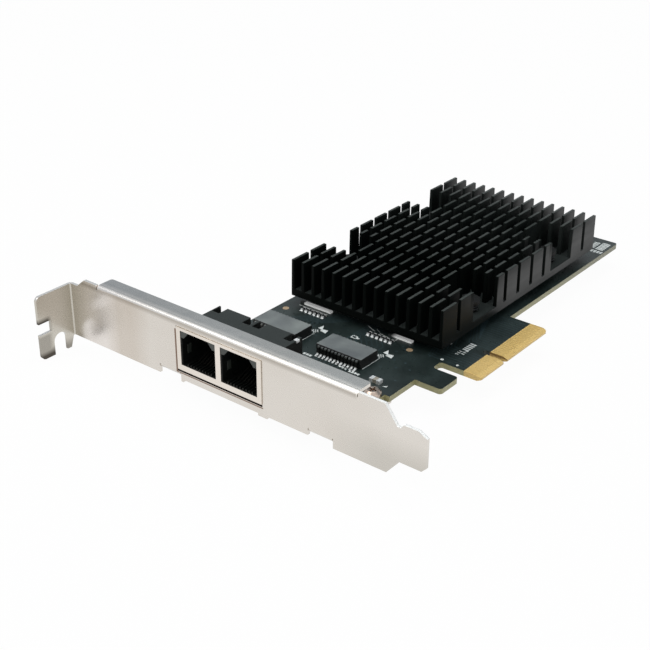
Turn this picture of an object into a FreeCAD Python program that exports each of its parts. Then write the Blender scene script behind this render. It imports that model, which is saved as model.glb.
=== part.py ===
"""Low-profile dual-port network interface card with a full-height bracket.

The card lies flat with its component side up.
  +X points from the card into the socket (across the contact edge).
  +Y points along the card, away from the bracket.
  +Z points up from the component side.
The origin is the card's own datum: the centre line of the key notch, on the contact edge,
at the top face of the circuit board. All lengths are in millimetres.
"""
import FreeCAD, Part
import math
import os
import Sketcher

doc = FreeCAD.newDocument("network_interface_card")
sheet = doc.addObject("Spreadsheet::Sheet", "sizes")
nodes = []


# ---------------------------------------------------------------- driving sizes

class Size:
    """A length that is known both as a number and as a spreadsheet expression."""

    def __init__(self, number, text):
        self.number = float(number)
        self.text = text

    def __add__(self, other):
        other = as_size(other)
        return Size(self.number + other.number, "(%s + %s)" % (self.text, other.text))

    def __sub__(self, other):
        other = as_size(other)
        return Size(self.number - other.number, "(%s - %s)" % (self.text, other.text))

    def __mul__(self, other):
        other = as_size(other)
        return Size(self.number * other.number, "(%s * %s)" % (self.text, other.text))

    def __truediv__(self, other):
        other = as_size(other)
        return Size(self.number / other.number, "(%s / %s)" % (self.text, other.text))

    def __rsub__(self, other):
        return as_size(other) - self

    def __neg__(self):
        return Size(-self.number, "(0 - %s)" % self.text)

    __radd__ = __add__
    __rmul__ = __mul__


def as_size(value):
    return value if isinstance(value, Size) else Size(value, repr(float(value)))


def size(alias, number, meaning):
    """Write one driving size into the sheet and return it."""
    row = size.next_row
    size.next_row += 1
    sheet.set("A%d" % row, alias)
    sheet.set("B%d" % row, repr(float(number)))
    sheet.set("C%d" % row, meaning)
    sheet.setAlias("B%d" % row, alias)
    return Size(number, "sizes.%s" % alias)


size.next_row = 1

# circuit board
board_thick = size("board_thick", 1.57, "laminate thickness")
board_left = size("board_left", 67.56, "contact edge to the board's opposite edge")
board_far = size("board_far", 88.1, "key centre to the board's far edge")
board_gap = size("board_gap", 0.9, "board edge to the bracket's inner face")
near_edge = size("near_edge", 12.6, "contact edge to the board edge before the hook")
far_edge = size("far_edge", 11.95, "contact edge to the board edge past the contacts")
corner_edge = size("corner_edge", 14.2, "contact edge to the board edge beside the bracket")
corner_step = size("corner_step", 35.0, "key centre to the step in the corner by the bracket")
hook_start = size("hook_start", 24.0, "key centre to the near side of the hook")
hook_width = size("hook_width", 8.15, "hook, along the card")
hook_edge = size("hook_edge", 4.5, "contact edge to the hook's end")
board_round = size("board_round", 1.0, "corner radius of the board")
tongue_near = size("tongue_near", 12.15, "key centre to the near end of the contact tongue")
tongue_far = size("tongue_far", 22.15, "key centre to the far end of the contact tongue")
key_width = size("key_width", 1.9, "key notch width")
key_depth = size("key_depth", 7.0, "key notch depth")
bevel_height = size("bevel_height", 0.5, "height of the bevel on each side of the contact edge")
bevel_run = size("bevel_run", 1.3, "length of the bevel on the contact edge")
# edge contacts
contact_pitch = size("contact_pitch", 1.0, "contact pitch")
contact_width = size("contact_width", 0.7, "contact width")
contact_length = size("contact_length", 3.75, "contact length")
contact_thick = size("contact_thick", 0.04, "contact thickness")
contact_first = size("contact_first", 1.5, "key centre to the first contact on either side")
contact_end = size("contact_end", 0.1, "contact edge to the contacts' ends on the bevel")
# bracket
key_to_bracket = size("key_to_bracket", 57.15, "key centre to the bracket's inner face")
sheet_thick = size("sheet_thick", 0.86, "bracket sheet thickness")
bend_radius = size("bend_radius", 0.5, "inner radius of the bracket's folds")
bracket_length = size("bracket_length", 120.02, "ear to tongue tip")
bracket_width = size("bracket_width", 18.42, "face width")
face_top = size("face_top", 14.65, "face edge above the board's top face")
tip_reach = size("tip_reach", 14.22, "contact edge to the tongue tip")
tongue_length = size("tongue_length", 8.3, "bracket tongue length")
tongue_high = size("tongue_high", 10.9, "upper edge of the bracket tongue")
tongue_low = size("tongue_low", 0.55, "lower edge of the bracket tongue")
tongue_bevel = size("tongue_bevel", 1.25, "corner bevel of the tongue tip")
shoulder_run = size("shoulder_run", 3.6, "slope between the face and its tongue")
shoulder_drop = size("shoulder_drop", 1.1, "undercut where the slope meets the tongue")
shoulder_width = size("shoulder_width", 0.9, "width of that undercut")
lower_relief = size("lower_relief", 0.7, "shallow recess in the face's lower edge")
relief_margin = size("relief_margin", 1.5, "face left between the recesses in its lower edge")
stiffener_depth = size("stiffener_depth", 5.6, "stiffening flange, overall")
stiffener_round = size("stiffener_round", 0.6, "corner radius of the flange")
stiffener_start = size("stiffener_start", 11.8, "ear to the flange")
stiffener_end = size("stiffener_end", 19.9, "tongue tip to the flange")
relief_width = size("relief_width", 0.3, "bend relief at the flange")
relief_depth = size("relief_depth", 0.1, "bend relief past the fold")
ear_depth = size("ear_depth", 12.1, "ear, from the face's outer side")
ear_top = size("ear_top", 12.1, "ear's upper edge above the board's top face")
ear_bottom = size("ear_bottom", 7.15, "ear's lower edge below the board's top face")
ear_step = size("ear_step", 3.6, "ear to the foot of the rise in the face's top edge")
ear_rise = size("ear_rise", 3.0, "run of the rise in the face's top edge")
ear_prong = size("ear_prong", 1.6, "slope of the ear's prong beside the face")
ear_round = size("ear_round", 1.4, "corner radius of the ear")
slot_width = size("slot_width", 4.45, "screw slot width")
slot_centre = size("slot_centre", 5.2, "face's outer side to the slot's centre line")
slot_length = size("slot_length", 6.05, "screw slot length")
notch_width = size("notch_width", 3.4, "guide notch width")
notch_depth = size("notch_depth", 4.1, "guide notch depth")
notch_height = size("notch_height", 2.2, "guide notch centre above the board's top face")
# mounting tabs and their screws
tab_width = size("tab_width", 7.2, "mounting tab width")
tab_length = size("tab_length", 23.4, "mounting tab length from the face's inner side")
tab_right = size("tab_right", 16.5, "contact edge to the right tab's centre")
tab_left = size("tab_left", 67.2, "contact edge to the left tab's centre")
tab_relief = size("tab_relief", 0.3, "relief slot beside a mounting tab")
tab_jog = size("tab_jog", 3.0, "sideways reach of the left tab's end")
tab_jog_length = size("tab_jog_length", 6.4, "length of the left tab's wide end")
screw_setback = size("screw_setback", 3.2, "screw centre to the tab's end")
screw_diameter = size("screw_diameter", 2.5, "bracket screw thread")
screw_head = size("screw_head", 4.6, "bracket screw head diameter")
screw_head_high = size("screw_head_high", 1.7, "bracket screw head height")
screw_crown = size("screw_crown", 0.8, "bevel of the screw head's crown")
screw_recess = size("screw_recess", 0.9, "depth of the cross recess")
screw_slim = size("screw_slim", 0.6, "width of the cross recess")
screw_clearance = size("screw_clearance", 0.2, "radial clearance of the screw in the board")
# twin jack
jack_centre = size("jack_centre", 49.5, "contact edge to the jack's centre")
jack_width = size("jack_width", 29.0, "jack width over its shield")
jack_height = size("jack_height", 12.4, "jack height over its shield")
jack_rear = size("jack_rear", 15.2, "bracket's inner face to the jack's rear")
jack_front = size("jack_front", 0.3, "jack's reach past the bracket's outer face")
jack_cut_gap = size("jack_cut_gap", 0.35, "bracket cut-out left of the jack")
jack_cut_slim = size("jack_cut_slim", 0.05, "bracket cut-out above and right of the jack")
jack_cut_low = size("jack_cut_low", 0.85, "bracket cut-out below the jack")
shield_thick = size("shield_thick", 0.3, "shield sheet thickness")
port_pitch = size("port_pitch", 13.97, "port pitch")
port_width = size("port_width", 12.2, "port opening width")
port_low = size("port_low", 1.65, "port opening's lower edge above the board")
port_height = size("port_height", 10.0, "port opening height")
plug_width = size("plug_width", 11.7, "plug cavity width")
plug_height = size("plug_height", 8.0, "plug cavity height")
plug_depth = size("plug_depth", 12.6, "plug cavity depth")
latch_width = size("latch_width", 9.8, "latch channel width at its foot")
latch_top = size("latch_top", 6.5, "latch channel width at its top")
latch_height = size("latch_height", 2.0, "latch channel height")
latch_depth = size("latch_depth", 8.5, "latch channel depth")
rear_notch_right = size("rear_notch_right", 3.8, "port centre to its right rear notch")
rear_notch_left = size("rear_notch_left", 6.8, "port centre to the far side of its left rear notch")
rear_notch_width = size("rear_notch_width", 2.3, "notch in the housing's rear edge, width")
rear_notch_depth = size("rear_notch_depth", 3.4, "notch in the housing's rear edge, depth")
rear_notch_high = size("rear_notch_high", 6.0, "notch in the housing's rear edge, height")
wire_pitch = size("wire_pitch", 1.02, "jack contact pitch")
wire_width = size("wire_width", 0.4, "jack contact width")
wire_thick = size("wire_thick", 0.25, "jack contact thickness")
wire_reach = size("wire_reach", 9.45, "jack contacts, along the cavity")
wire_rise = size("wire_rise", 3.6, "rise of the jack contacts towards the rear")
pin_side = size("pin_side", 0.5, "jack solder pin, across")
pin_reach = size("pin_reach", 1.5, "jack solder pin below the board")
pin_hole = size("pin_hole", 0.7, "square hole for a solder pin, across")
pin_row_gap = size("pin_row_gap", 2.54, "distance between the two rows of solder pins")
pin_setback = size("pin_setback", 4.0, "jack's rear to the last row of solder pins")
# heat sink
sink_width = size("sink_width", 52.0, "heat sink width")
sink_length = size("sink_length", 84.1, "heat sink length")
sink_right = size("sink_right", 13.55, "contact edge to the heat sink's near side")
sink_near = size("sink_near", 10.3, "key centre to the heat sink's near end")
base_thick = size("base_thick", 2.25, "heat sink base thickness")
fin_height = size("fin_height", 9.1, "fin height")
fin_tip = size("fin_tip", 0.85, "fin thickness at the tip")
fin_root = size("fin_root", 1.15, "fin thickness at the root")
saw_width = size("saw_width", 1.6, "cross cut width")
inner_pitch = size("inner_pitch", 7.15, "cross cut pitch in the middle")
outer_pitch = size("outer_pitch", 8.3, "cross cut pitch near the ends")
pocket_width = size("pocket_width", 10.0, "fastener pocket, across the fins")
pocket_length = size("pocket_length", 12.2, "fastener pocket, along the fins")
pocket_offset = size("pocket_offset", 21.2, "heat sink's middle to a pocket's middle")
pocket_hole_inset = size("pocket_hole_inset", 5.0, "heat sink's side to the fastener holes")
# spring push pins
push_shank = size("push_shank", 3.0, "push pin shank diameter")
push_head = size("push_head", 5.6, "push pin head diameter")
push_head_high = size("push_head_high", 1.2, "push pin head height")
push_barb = size("push_barb", 3.8, "push pin barb diameter")
push_barb_long = size("push_barb_long", 1.6, "push pin barb length")
push_clearance = size("push_clearance", 0.15, "radial clearance of the push pin")
coil_outer = size("coil_outer", 5.0, "spring outer diameter")
coil_inner = size("coil_inner", 3.4, "spring inner diameter")
coil_high = size("coil_high", 2.3, "height of the compressed spring")
# controller and thermal pad
chip_side = size("chip_side", 25.0, "controller package side")
chip_balls = size("chip_balls", 0.4, "controller stand-off")
chip_base = size("chip_base", 0.95, "controller package thickness")
chip_lid_side = size("chip_lid_side", 18.0, "controller lid side")
chip_lid = size("chip_lid", 0.9, "controller lid thickness")
pad_thick = size("pad_thick", 0.3, "thermal pad thickness")
# magnetics
magnetics_width = size("magnetics_width", 14.9, "magnetics module, across the card")
magnetics_length = size("magnetics_length", 7.6, "magnetics module, along the card")
magnetics_high = size("magnetics_high", 2.8, "magnetics module height")
magnetics_stand = size("magnetics_stand", 0.15, "magnetics module stand-off")
magnetics_near = size("magnetics_near", 28.3, "bracket's inner face to the modules")
magnetics_right = size("magnetics_right", 34.0, "contact edge to the right module's centre")
magnetics_pitch = size("magnetics_pitch", 22.4, "distance between the two modules")
lead_pitch = size("lead_pitch", 1.15, "module lead pitch")
lead_width = size("lead_width", 0.6, "module lead width")
lead_thick = size("lead_thick", 0.22, "module lead thickness")
lead_foot = size("lead_foot", 0.8, "module lead foot")
lead_reach = size("lead_reach", 1.5, "module lead, from the body to its toe")
lead_high = size("lead_high", 2.35, "height at which the leads leave the body")
# small parts on the board
filter_left = size("filter_left", 58.0, "contact edge to the middle of the left line filter")
filter_left_length = size("filter_left_length", 11.0, "left line filter, across the card")
filter_right = size("filter_right", 28.3, "contact edge to the middle of the right line filter")
filter_right_length = size("filter_right_length", 7.6, "right line filter, across the card")
filter_row = size("filter_row", 8.2, "key centre to the middle of the line filters")
filter_width = size("filter_width", 1.2, "line filter, along the card")
filter_high = size("filter_high", 0.55, "line filter height")
resistor_left = size("resistor_left", 56.5, "contact edge to the middle of the left resistors")
resistor_right = size("resistor_right", 32.9, "contact edge to the middle of the right resistors")
resistor_row = size("resistor_row", 11.4, "key centre to the rows of resistors")
resistor_pitch = size("resistor_pitch", 1.5, "resistor pitch")
resistor_length = size("resistor_length", 1.6, "resistor length")
resistor_width = size("resistor_width", 0.8, "resistor width")
resistor_high = size("resistor_high", 0.45, "resistor height")
memory_length = size("memory_length", 4.9, "memory body, across the card")
memory_width = size("memory_width", 3.9, "memory body, along the card")
memory_high = size("memory_high", 1.5, "memory body height")
crystal_length = size("crystal_length", 5.0, "crystal can length")
crystal_width = size("crystal_width", 3.2, "crystal can width")
crystal_high = size("crystal_high", 0.9, "crystal can height")
inductor_side = size("inductor_side", 5.2, "power inductor side")
inductor_high = size("inductor_high", 2.0, "power inductor height")
part_gap = size("part_gap", 4.0, "space around the small parts")
cap_length = size("cap_length", 3.2, "ceramic capacitor length")
cap_width = size("cap_width", 1.6, "ceramic capacitor width")
cap_high = size("cap_high", 1.0, "ceramic capacitor height")
cap_pitch = size("cap_pitch", 6.4, "distance between the capacitors beside the controller")
under_pitch = size("under_pitch", 4.8, "pitch of the capacitors under the controller")

FIN_COUNT = 15
NEAR_CONTACTS = 11
FAR_CONTACTS = 21
WIRES_PER_PORT = 8
LEADS_PER_SIDE = 12
INNER_ROWS = 5
RESISTORS_PER_ROW = 6
CAPACITORS_PER_ROW = 3
UNDER_COLUMNS = 4
UNDER_ROWS = 3

doc.recompute()

# ---------------------------------------------------------------- derived places

bracket_y = -key_to_bracket
bracket_outer = bracket_y - sheet_thick
board_near = bracket_y + board_gap
face_bottom = face_top - bracket_width
ear_x = tip_reach - bracket_length
fold_outer = bend_radius + sheet_thick
sink_bottom = chip_balls + chip_base + chip_lid + pad_thick
sink_top = sink_bottom + base_thick + fin_height
sink_x = -sink_right - sink_width
sink_middle_x = -sink_right - sink_width / 2
sink_middle_y = sink_length / 2 - sink_near
jack_left = -jack_centre - jack_width / 2


# ---------------------------------------------------------------- building helpers

def bind(thing, **properties):
    """Bind properties of an object to sizes."""
    for name, value in properties.items():
        thing.setExpression(name.replace("_of_", "."), as_size(value).text)


def place(thing, x=0, y=0, z=0):
    """Bind the position of an object to sizes."""
    thing.setExpression("Placement.Base.x", as_size(x).text)
    thing.setExpression("Placement.Base.y", as_size(y).text)
    thing.setExpression("Placement.Base.z", as_size(z).text)


def node(thing, label):
    """Register an object as a sub-part under its own name."""
    thing.Label = label
    nodes.append(thing)
    return thing


def new_body(label):
    body = doc.addObject("PartDesign::Body", label)
    body.AllowCompound = True
    return node(body, label)


def new_sketch(body, name, role, offset=0):
    """Attach a sketch to one of the body's own origin planes."""
    sketch = body.newObject("Sketcher::SketchObject", name)
    plane = next(item for item in body.Origin.OriginFeatures if item.Role == role)
    sketch.AttachmentSupport = [(plane, "")]
    sketch.MapMode = "FlatFace"
    sketch.setExpression("AttachmentOffset.Base.z", as_size(offset).text)
    return sketch


def fix_point(sketch, geometry, position, point):
    """Tie one point of a sketch to a pair of sizes."""
    for kind, value in (("DistanceX", point[0]), ("DistanceY", point[1])):
        value = as_size(value)
        index = sketch.addConstraint(
            Sketcher.Constraint(kind, -1, 1, geometry, position, value.number))
        sketch.setExpression("Constraints[%d]" % index, value.text)


RIGHT = (1, 0)
LEFT = (-1, 0)
UP = (0, 1)
DOWN = (0, -1)


def corner(x, y, radius, arriving, leaving):
    """Two outline points that round a square corner; the first one starts the arc."""
    turn = arriving[0] * leaving[1] - arriving[1] * leaving[0]
    return [
        (x - radius * arriving[0], y - radius * arriving[1], radius, turn),
        (x + radius * leaving[0], y + radius * leaving[1]),
    ]


def arc_between(start, end, radius, turn):
    """Quarter arc to the left (turn 1) or to the right (turn -1) of the way it is drawn."""
    chord = end.sub(start)
    rise = math.sqrt(max(radius ** 2 - chord.Length ** 2 / 4, 0))
    sideways = FreeCAD.Vector(-chord.y, chord.x, 0).normalize()
    centre = start + chord * 0.5 + sideways * rise * turn
    first, last = (start, end) if turn > 0 else (end, start)
    angles = [math.atan2(point.y - centre.y, point.x - centre.x) for point in (first, last)]
    ring = Part.Circle(centre, FreeCAD.Vector(0, 0, 1), radius)
    return Part.ArcOfCircle(ring, angles[0], angles[1])


def outline(sketch, points):
    """Draw a closed outline. A point of four values starts an arc: x, y, radius and turn."""
    segments = []
    for start, end in zip(points, points[1:] + points[:1]):
        first = FreeCAD.Vector(as_size(start[0]).number, as_size(start[1]).number, 0)
        last = FreeCAD.Vector(as_size(end[0]).number, as_size(end[1]).number, 0)
        if len(start) == 2:
            geometry = sketch.addGeometry(Part.LineSegment(first, last), False)
            segments.append((geometry, 1, 2))
            continue
        radius = as_size(start[2])
        shape = arc_between(first, last, radius.number, start[3])
        geometry = sketch.addGeometry(shape, False)
        segments.append((geometry, 1, 2) if start[3] > 0 else (geometry, 2, 1))
        index = sketch.addConstraint(Sketcher.Constraint("Radius", geometry, radius.number))
        sketch.setExpression("Constraints[%d]" % index, radius.text)
    for index, (geometry, first, last) in enumerate(segments):
        following = segments[(index + 1) % len(segments)]
        sketch.addConstraint(
            Sketcher.Constraint("Coincident", geometry, last, following[0], following[1]))
        fix_point(sketch, geometry, first, points[index])


def rectangle(sketch, x0, y0, x1, y1):
    outline(sketch, [(x0, y0), (x1, y0), (x1, y1), (x0, y1)])


def circle(sketch, x, y, radius):
    x, y, radius = as_size(x), as_size(y), as_size(radius)
    ring = Part.Circle(FreeCAD.Vector(x.number, y.number, 0), FreeCAD.Vector(0, 0, 1), radius.number)
    geometry = sketch.addGeometry(ring, False)
    fix_point(sketch, geometry, 3, (x, y))
    index = sketch.addConstraint(Sketcher.Constraint("Radius", geometry, radius.number))
    sketch.setExpression("Constraints[%d]" % index, radius.text)


def pad(body, sketch, length, name, back=False):
    feature = body.newObject("PartDesign::Pad", name)
    feature.Profile = sketch
    feature.Reversed = back
    bind(feature, Length=length)
    sketch.Visibility = False
    return feature


def pocket(body, sketch, name, length=None, back=False):
    """Cut a sketch out of the body, right through when no length is given."""
    feature = body.newObject("PartDesign::Pocket", name)
    feature.Profile = sketch
    feature.Reversed = back
    if length is None:
        feature.Type = "ThroughAll"
        feature.Midplane = True
    else:
        bind(feature, Length=length)
    return feature


def edges_near(feature, points, direction):
    """Names of the straight edges along a direction that pass closest to each point."""
    names = []
    for point in points:
        target = FreeCAD.Vector(*[as_size(value).number for value in point])
        best = None
        for index, edge in enumerate(feature.Shape.Edges):
            if len(edge.Vertexes) != 2:
                continue
            run = edge.Vertexes[1].Point.sub(edge.Vertexes[0].Point)
            if run.Length < 1e-6 or run.cross(direction).Length > 1e-4 * run.Length:
                continue
            gap = edge.distToShape(Part.Vertex(target))[0]
            if best is None or gap < best[0]:
                best = (gap, "Edge%d" % (index + 1))
        names.append(best[1])
    return sorted(set(names))


def fillet(body, feature, points, direction, radius, name):
    """Round the edges that pass closest to the given points."""
    doc.recompute()
    rounded = body.newObject("PartDesign::Fillet", name)
    rounded.Base = (feature, edges_near(feature, points, direction))
    bind(rounded, Radius=radius)
    return rounded


def block(name, x, y, z, dx, dy, dz):
    """A rectangular block with one corner at x, y, z."""
    item = doc.addObject("Part::Box", name)
    bind(item, Length=dx, Width=dy, Height=dz)
    place(item, x, y, z)
    return item


def group(label, items):
    """One sub-part made of separate solids."""
    compound = doc.addObject("Part::Compound", label)
    compound.Links = items
    return node(compound, label)


def pattern(body, original, axis, length, count, name):
    """Repeat a feature along one of the body's own origin axes."""
    line = next(item for item in body.Origin.OriginFeatures if item.Role == axis)
    feature = body.newObject("PartDesign::LinearPattern", name)
    feature.Originals = [original]
    feature.Direction = (line, [""])
    bind(feature, Length=length)
    feature.Occurrences = count
    body.Tip = feature
    return feature


def turned(label, places, profile):
    """One round solid at each place, turned from a half profile of radius and height pairs."""
    body = new_body(label)
    for index, (x, y) in enumerate(places):
        sketch = new_sketch(body, "%s_profile_%d" % (label, index), "XZ_Plane", -y)
        outline(sketch, [(x + radius, height) for radius, height in profile])
        foot = FreeCAD.Vector(x.number, 0, 0)
        axis = sketch.addGeometry(Part.LineSegment(foot, foot + FreeCAD.Vector(0, 1, 0)), True)
        fix_point(sketch, axis, 1, (x, 0))
        fix_point(sketch, axis, 2, (x, 1))
        feature = body.newObject("PartDesign::Revolution", "%s_%d" % (label, index))
        feature.Profile = sketch
        feature.ReferenceAxis = (sketch, ["Axis0"])
        feature.Angle = 360
    return body


def row(middle, pitch, count):
    """Evenly spaced positions on both sides of a middle."""
    return [middle + pitch * (index - (count - 1) / 2) for index in range(count)]


def chips(label, places, length, width, height, low=0):
    """Equal rectangular parts, each centred on its place."""
    items = []
    for index, (x, y) in enumerate(places):
        items.append(block("%s_%d" % (label, index), x - length / 2, y - width / 2, low,
                           length, width, height))
    return group(label, items)


Z_AXIS = FreeCAD.Vector(0, 0, 1)


# ---------------------------------------------------------------- bracket

def fold_profile(y_out, z_out, y_end, turn_up):
    """Section of a sheet that leaves the face through a fold and runs to y_end."""
    away = UP if turn_up else DOWN
    back = DOWN if turn_up else UP
    sign = away[1]
    outer = corner(y_out, z_out, fold_outer, away, RIGHT)
    inner = corner(y_out + sheet_thick, z_out - sheet_thick * sign, bend_radius, LEFT, back)
    return outer + [(y_end, z_out), (y_end, z_out - sheet_thick * sign)] + inner


def bracket():
    """One folded sheet: face, tongue, ear, stiffening flange and two mounting tabs."""
    body = new_body("bracket")
    tab_floor = -board_thick - sheet_thick
    tab_bend = tab_floor + fold_outer
    tongue_root = tip_reach - tongue_length
    flange_from = ear_x + stiffener_start
    flange_to = tip_reach - stiffener_end
    flange_bend = face_top - fold_outer
    relief_floor = flange_bend - relief_depth
    shoulder_z = tongue_high - shoulder_drop
    shallow = face_bottom + lower_relief
    jack_right = jack_left + jack_width
    half_tab = tab_width / 2
    half_gap = half_tab + tab_relief
    face_sketch = new_sketch(body, "face_outline", "XZ_Plane", key_to_bracket)
    outline(face_sketch, [
        (ear_x + fold_outer, face_bottom),
        (-tab_left - half_gap, face_bottom),
        (-tab_left - half_gap, tab_bend),
        (-tab_left + half_gap, tab_bend),
        (-tab_left + half_gap, face_bottom),
        (jack_left + relief_margin, face_bottom),
        (jack_left + relief_margin, shallow),
        (jack_right - relief_margin, shallow),
        (jack_right - relief_margin, face_bottom),
        (jack_right + relief_margin, face_bottom),
        (jack_right + relief_margin, shallow),
        (-tab_right - half_gap, shallow),
        (-tab_right - half_gap, tab_bend),
        (-tab_right + half_gap, tab_bend),
        (-tab_right + half_gap, face_bottom),
        (tongue_root - shoulder_run + shoulder_width, face_bottom),
        (tongue_root + shoulder_width, tongue_low),
        (tip_reach - tongue_bevel, tongue_low),
        (tip_reach, tongue_low + tongue_bevel),
        (tip_reach, tongue_high - tongue_bevel),
        (tip_reach - tongue_bevel * 2, tongue_high),
        (tongue_root + shoulder_width * 2, tongue_high),
        (tongue_root + shoulder_width, shoulder_z),
        (tongue_root, shoulder_z),
        (tongue_root - shoulder_run, face_top),
        (flange_to + relief_width, face_top),
        (flange_to + relief_width, relief_floor),
        (flange_to, relief_floor),
        (flange_to, flange_bend),
        (flange_from, flange_bend),
        (flange_from, relief_floor),
        (flange_from - relief_width, relief_floor),
        (flange_from - relief_width, face_top),
        (ear_x + ear_step + ear_rise, face_top),
        (ear_x + ear_step, ear_top),
        (ear_x + fold_outer, ear_top),
    ])
    pad(body, face_sketch, sheet_thick, "face")

    ear_fold = new_sketch(body, "ear_fold_outline", "XY_Plane", face_bottom)
    inner_x = ear_x + sheet_thick
    outline(ear_fold, corner(ear_x, bracket_y, fold_outer, LEFT, DOWN)
            + [(inner_x, bracket_y - fold_outer, bend_radius, -1),
               (ear_x + fold_outer, bracket_outer)])
    pad(body, ear_fold, ear_top - face_bottom, "ear_fold")

    fold_y = bracket_y - fold_outer
    ear_end = bracket_outer - ear_depth
    slot_y = bracket_outer - slot_centre
    slot_round = slot_width / 2
    slot_top = slot_length - ear_bottom
    notch_low = notch_height - notch_width / 2
    notch_high = notch_height + notch_width / 2
    ear_sketch = new_sketch(body, "ear_outline", "YZ_Plane", ear_x)
    outline(
        ear_sketch,
        [(fold_y, face_bottom), (fold_y, ear_top)]
        + corner(ear_end, ear_top, ear_round, LEFT, DOWN)
        + [(ear_end, notch_high), (ear_end + notch_depth, notch_high),
           (ear_end + notch_depth, notch_low), (ear_end, notch_low)]
        + corner(ear_end, -ear_bottom, ear_round, DOWN, RIGHT)
        + [(slot_y - slot_round, -ear_bottom)]
        + corner(slot_y - slot_round, slot_top, slot_round, UP, RIGHT)[:1]
        + corner(slot_y + slot_round, slot_top, slot_round, RIGHT, DOWN)
        + [(slot_y + slot_round, -ear_bottom), (bracket_outer - ear_prong, -ear_bottom)])
    pad(body, ear_sketch, sheet_thick, "ear")

    flange_sketch = new_sketch(body, "flange_profile", "YZ_Plane", flange_from)
    outline(flange_sketch, fold_profile(bracket_outer, face_top,
                                        bracket_outer + stiffener_depth, True))
    flange = pad(body, flange_sketch, flange_to - flange_from, "flange")

    tab_end = bracket_y + tab_length
    right_tab = new_sketch(body, "right_tab_profile", "YZ_Plane", -tab_right - half_tab)
    outline(right_tab, fold_profile(bracket_outer, tab_floor, tab_end, False))
    pad(body, right_tab, tab_width, "right_tab")
    jog_start = tab_end - tab_jog_length - tab_jog
    left_tab = new_sketch(body, "left_tab_profile", "YZ_Plane", -tab_left - half_tab)
    outline(left_tab, fold_profile(bracket_outer, tab_floor, jog_start, False))
    pad(body, left_tab, tab_width, "left_tab")
    tab_foot = new_sketch(body, "left_tab_end_outline", "XY_Plane", tab_floor)
    outline(tab_foot, [
        (-tab_left - half_tab, jog_start),
        (-tab_left + half_tab, jog_start),
        (-tab_left + half_tab + tab_jog, tab_end - tab_jog_length),
        (-tab_left + half_tab + tab_jog, tab_end),
        (-tab_left - half_tab + tab_jog, tab_end),
        (-tab_left - half_tab, tab_end - tab_jog),
    ])
    pad(body, tab_foot, sheet_thick, "left_tab_end")

    window = new_sketch(body, "window_outline", "XZ_Plane", key_to_bracket)
    rectangle(window, jack_left - jack_cut_gap, -jack_cut_low,
              jack_right + jack_cut_slim, jack_height + jack_cut_slim)
    pocket(body, window, "jack_window", length=sheet_thick * 2, back=True)
    holes = new_sketch(body, "tab_hole_outline", "XY_Plane", -board_thick)
    for x, y in screw_places():
        circle(holes, x, y, screw_diameter / 2)
    hole_cut = pocket(body, holes, "tab_holes", length=sheet_thick * 2)
    flange_end = bracket_outer + stiffener_depth
    flange_corners = [(flange_from, flange_end, face_top), (flange_to, flange_end, face_top)]
    fillet(body, hole_cut, flange_corners, Z_AXIS, stiffener_round, "flange_corners")
    return body


# ---------------------------------------------------------------- circuit board

def push_pin_places():
    """Centres of the four heat sink fasteners."""
    return [
        (x, y)
        for x in (sink_x + pocket_hole_inset, -sink_right - pocket_hole_inset)
        for y in (sink_middle_y - pocket_offset, sink_middle_y + pocket_offset)
    ]


def solder_pin_places():
    """Centres of the jack's solder pins: two staggered rows behind each port."""
    last_row = bracket_y + jack_rear - pin_setback
    places = []
    for port_x in port_centres():
        for index, x in enumerate(row(port_x, wire_pitch, WIRES_PER_PORT)):
            places.append((x, last_row - pin_row_gap * (index % 2)))
    return places


def screw_places():
    """Centres of the bracket screws; the left tab jogs sideways, clear of the jack's corner."""
    y = bracket_y + tab_length - screw_setback
    return [(-tab_right, y), (tab_jog - tab_left, y)]


def port_centres():
    return [-jack_centre - port_pitch / 2, port_pitch / 2 - jack_centre]


def circuit_board():
    """Laminate with the contact tongue, key notch, hook and every drilled hole."""
    body = new_body("circuit_board")
    hook_end = hook_width - hook_start
    board_sketch = new_sketch(body, "board_outline", "XY_Plane", -board_thick)
    outline(
        board_sketch,
        [(-board_left, board_near), (-corner_edge, board_near), (-corner_edge, -corner_step),
         (-near_edge, -corner_step), (-near_edge, -hook_start)]
        + corner(-hook_edge, -hook_start, board_round, RIGHT, UP)
        + corner(-hook_edge, hook_end, board_round, UP, LEFT)
        + corner(-near_edge, hook_end, board_round, LEFT, UP)
        + corner(-near_edge, -tongue_near, board_round, UP, RIGHT)
        + corner(0, -tongue_near, board_round, RIGHT, UP)
        + corner(0, tongue_far, board_round, UP, LEFT)
        + [(-far_edge, tongue_far)]
        + corner(-far_edge, board_far, board_round, UP, LEFT)
        + corner(-board_left, board_far, board_round, LEFT, DOWN))
    pad(body, board_sketch, board_thick, "laminate")

    key_round = key_width / 2
    key_sketch = new_sketch(body, "key_outline", "XY_Plane", 0)
    outline(
        key_sketch,
        [(key_depth, -key_round), (key_depth, key_round)]
        + corner(-key_depth, key_round, key_round, LEFT, DOWN)[:1]
        + corner(-key_depth, -key_round, key_round, DOWN, RIGHT))
    pocket(body, key_sketch, "key_notch")

    drilled = new_sketch(body, "drill_pattern", "XY_Plane", 0)
    for x, y in screw_places():
        circle(drilled, x, y, screw_diameter / 2 + screw_clearance)
    for x, y in push_pin_places():
        circle(drilled, x, y, push_shank / 2 + push_clearance)
    for x, y in solder_pin_places():
        rectangle(drilled, x - pin_hole / 2, y - pin_hole / 2, x + pin_hole / 2, y + pin_hole / 2)
    pocket(body, drilled, "drilled_holes")

    for name, face, inner in (("upper", as_size(0), -bevel_height),
                              ("lower", -board_thick, bevel_height - board_thick)):
        bevel = new_sketch(body, name + "_bevel_outline", "XZ_Plane", 0)
        outline(bevel, [(-bevel_run, face), (0, face), (0, inner)])
        pocket(body, bevel, name + "_bevel")
    return body


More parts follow.
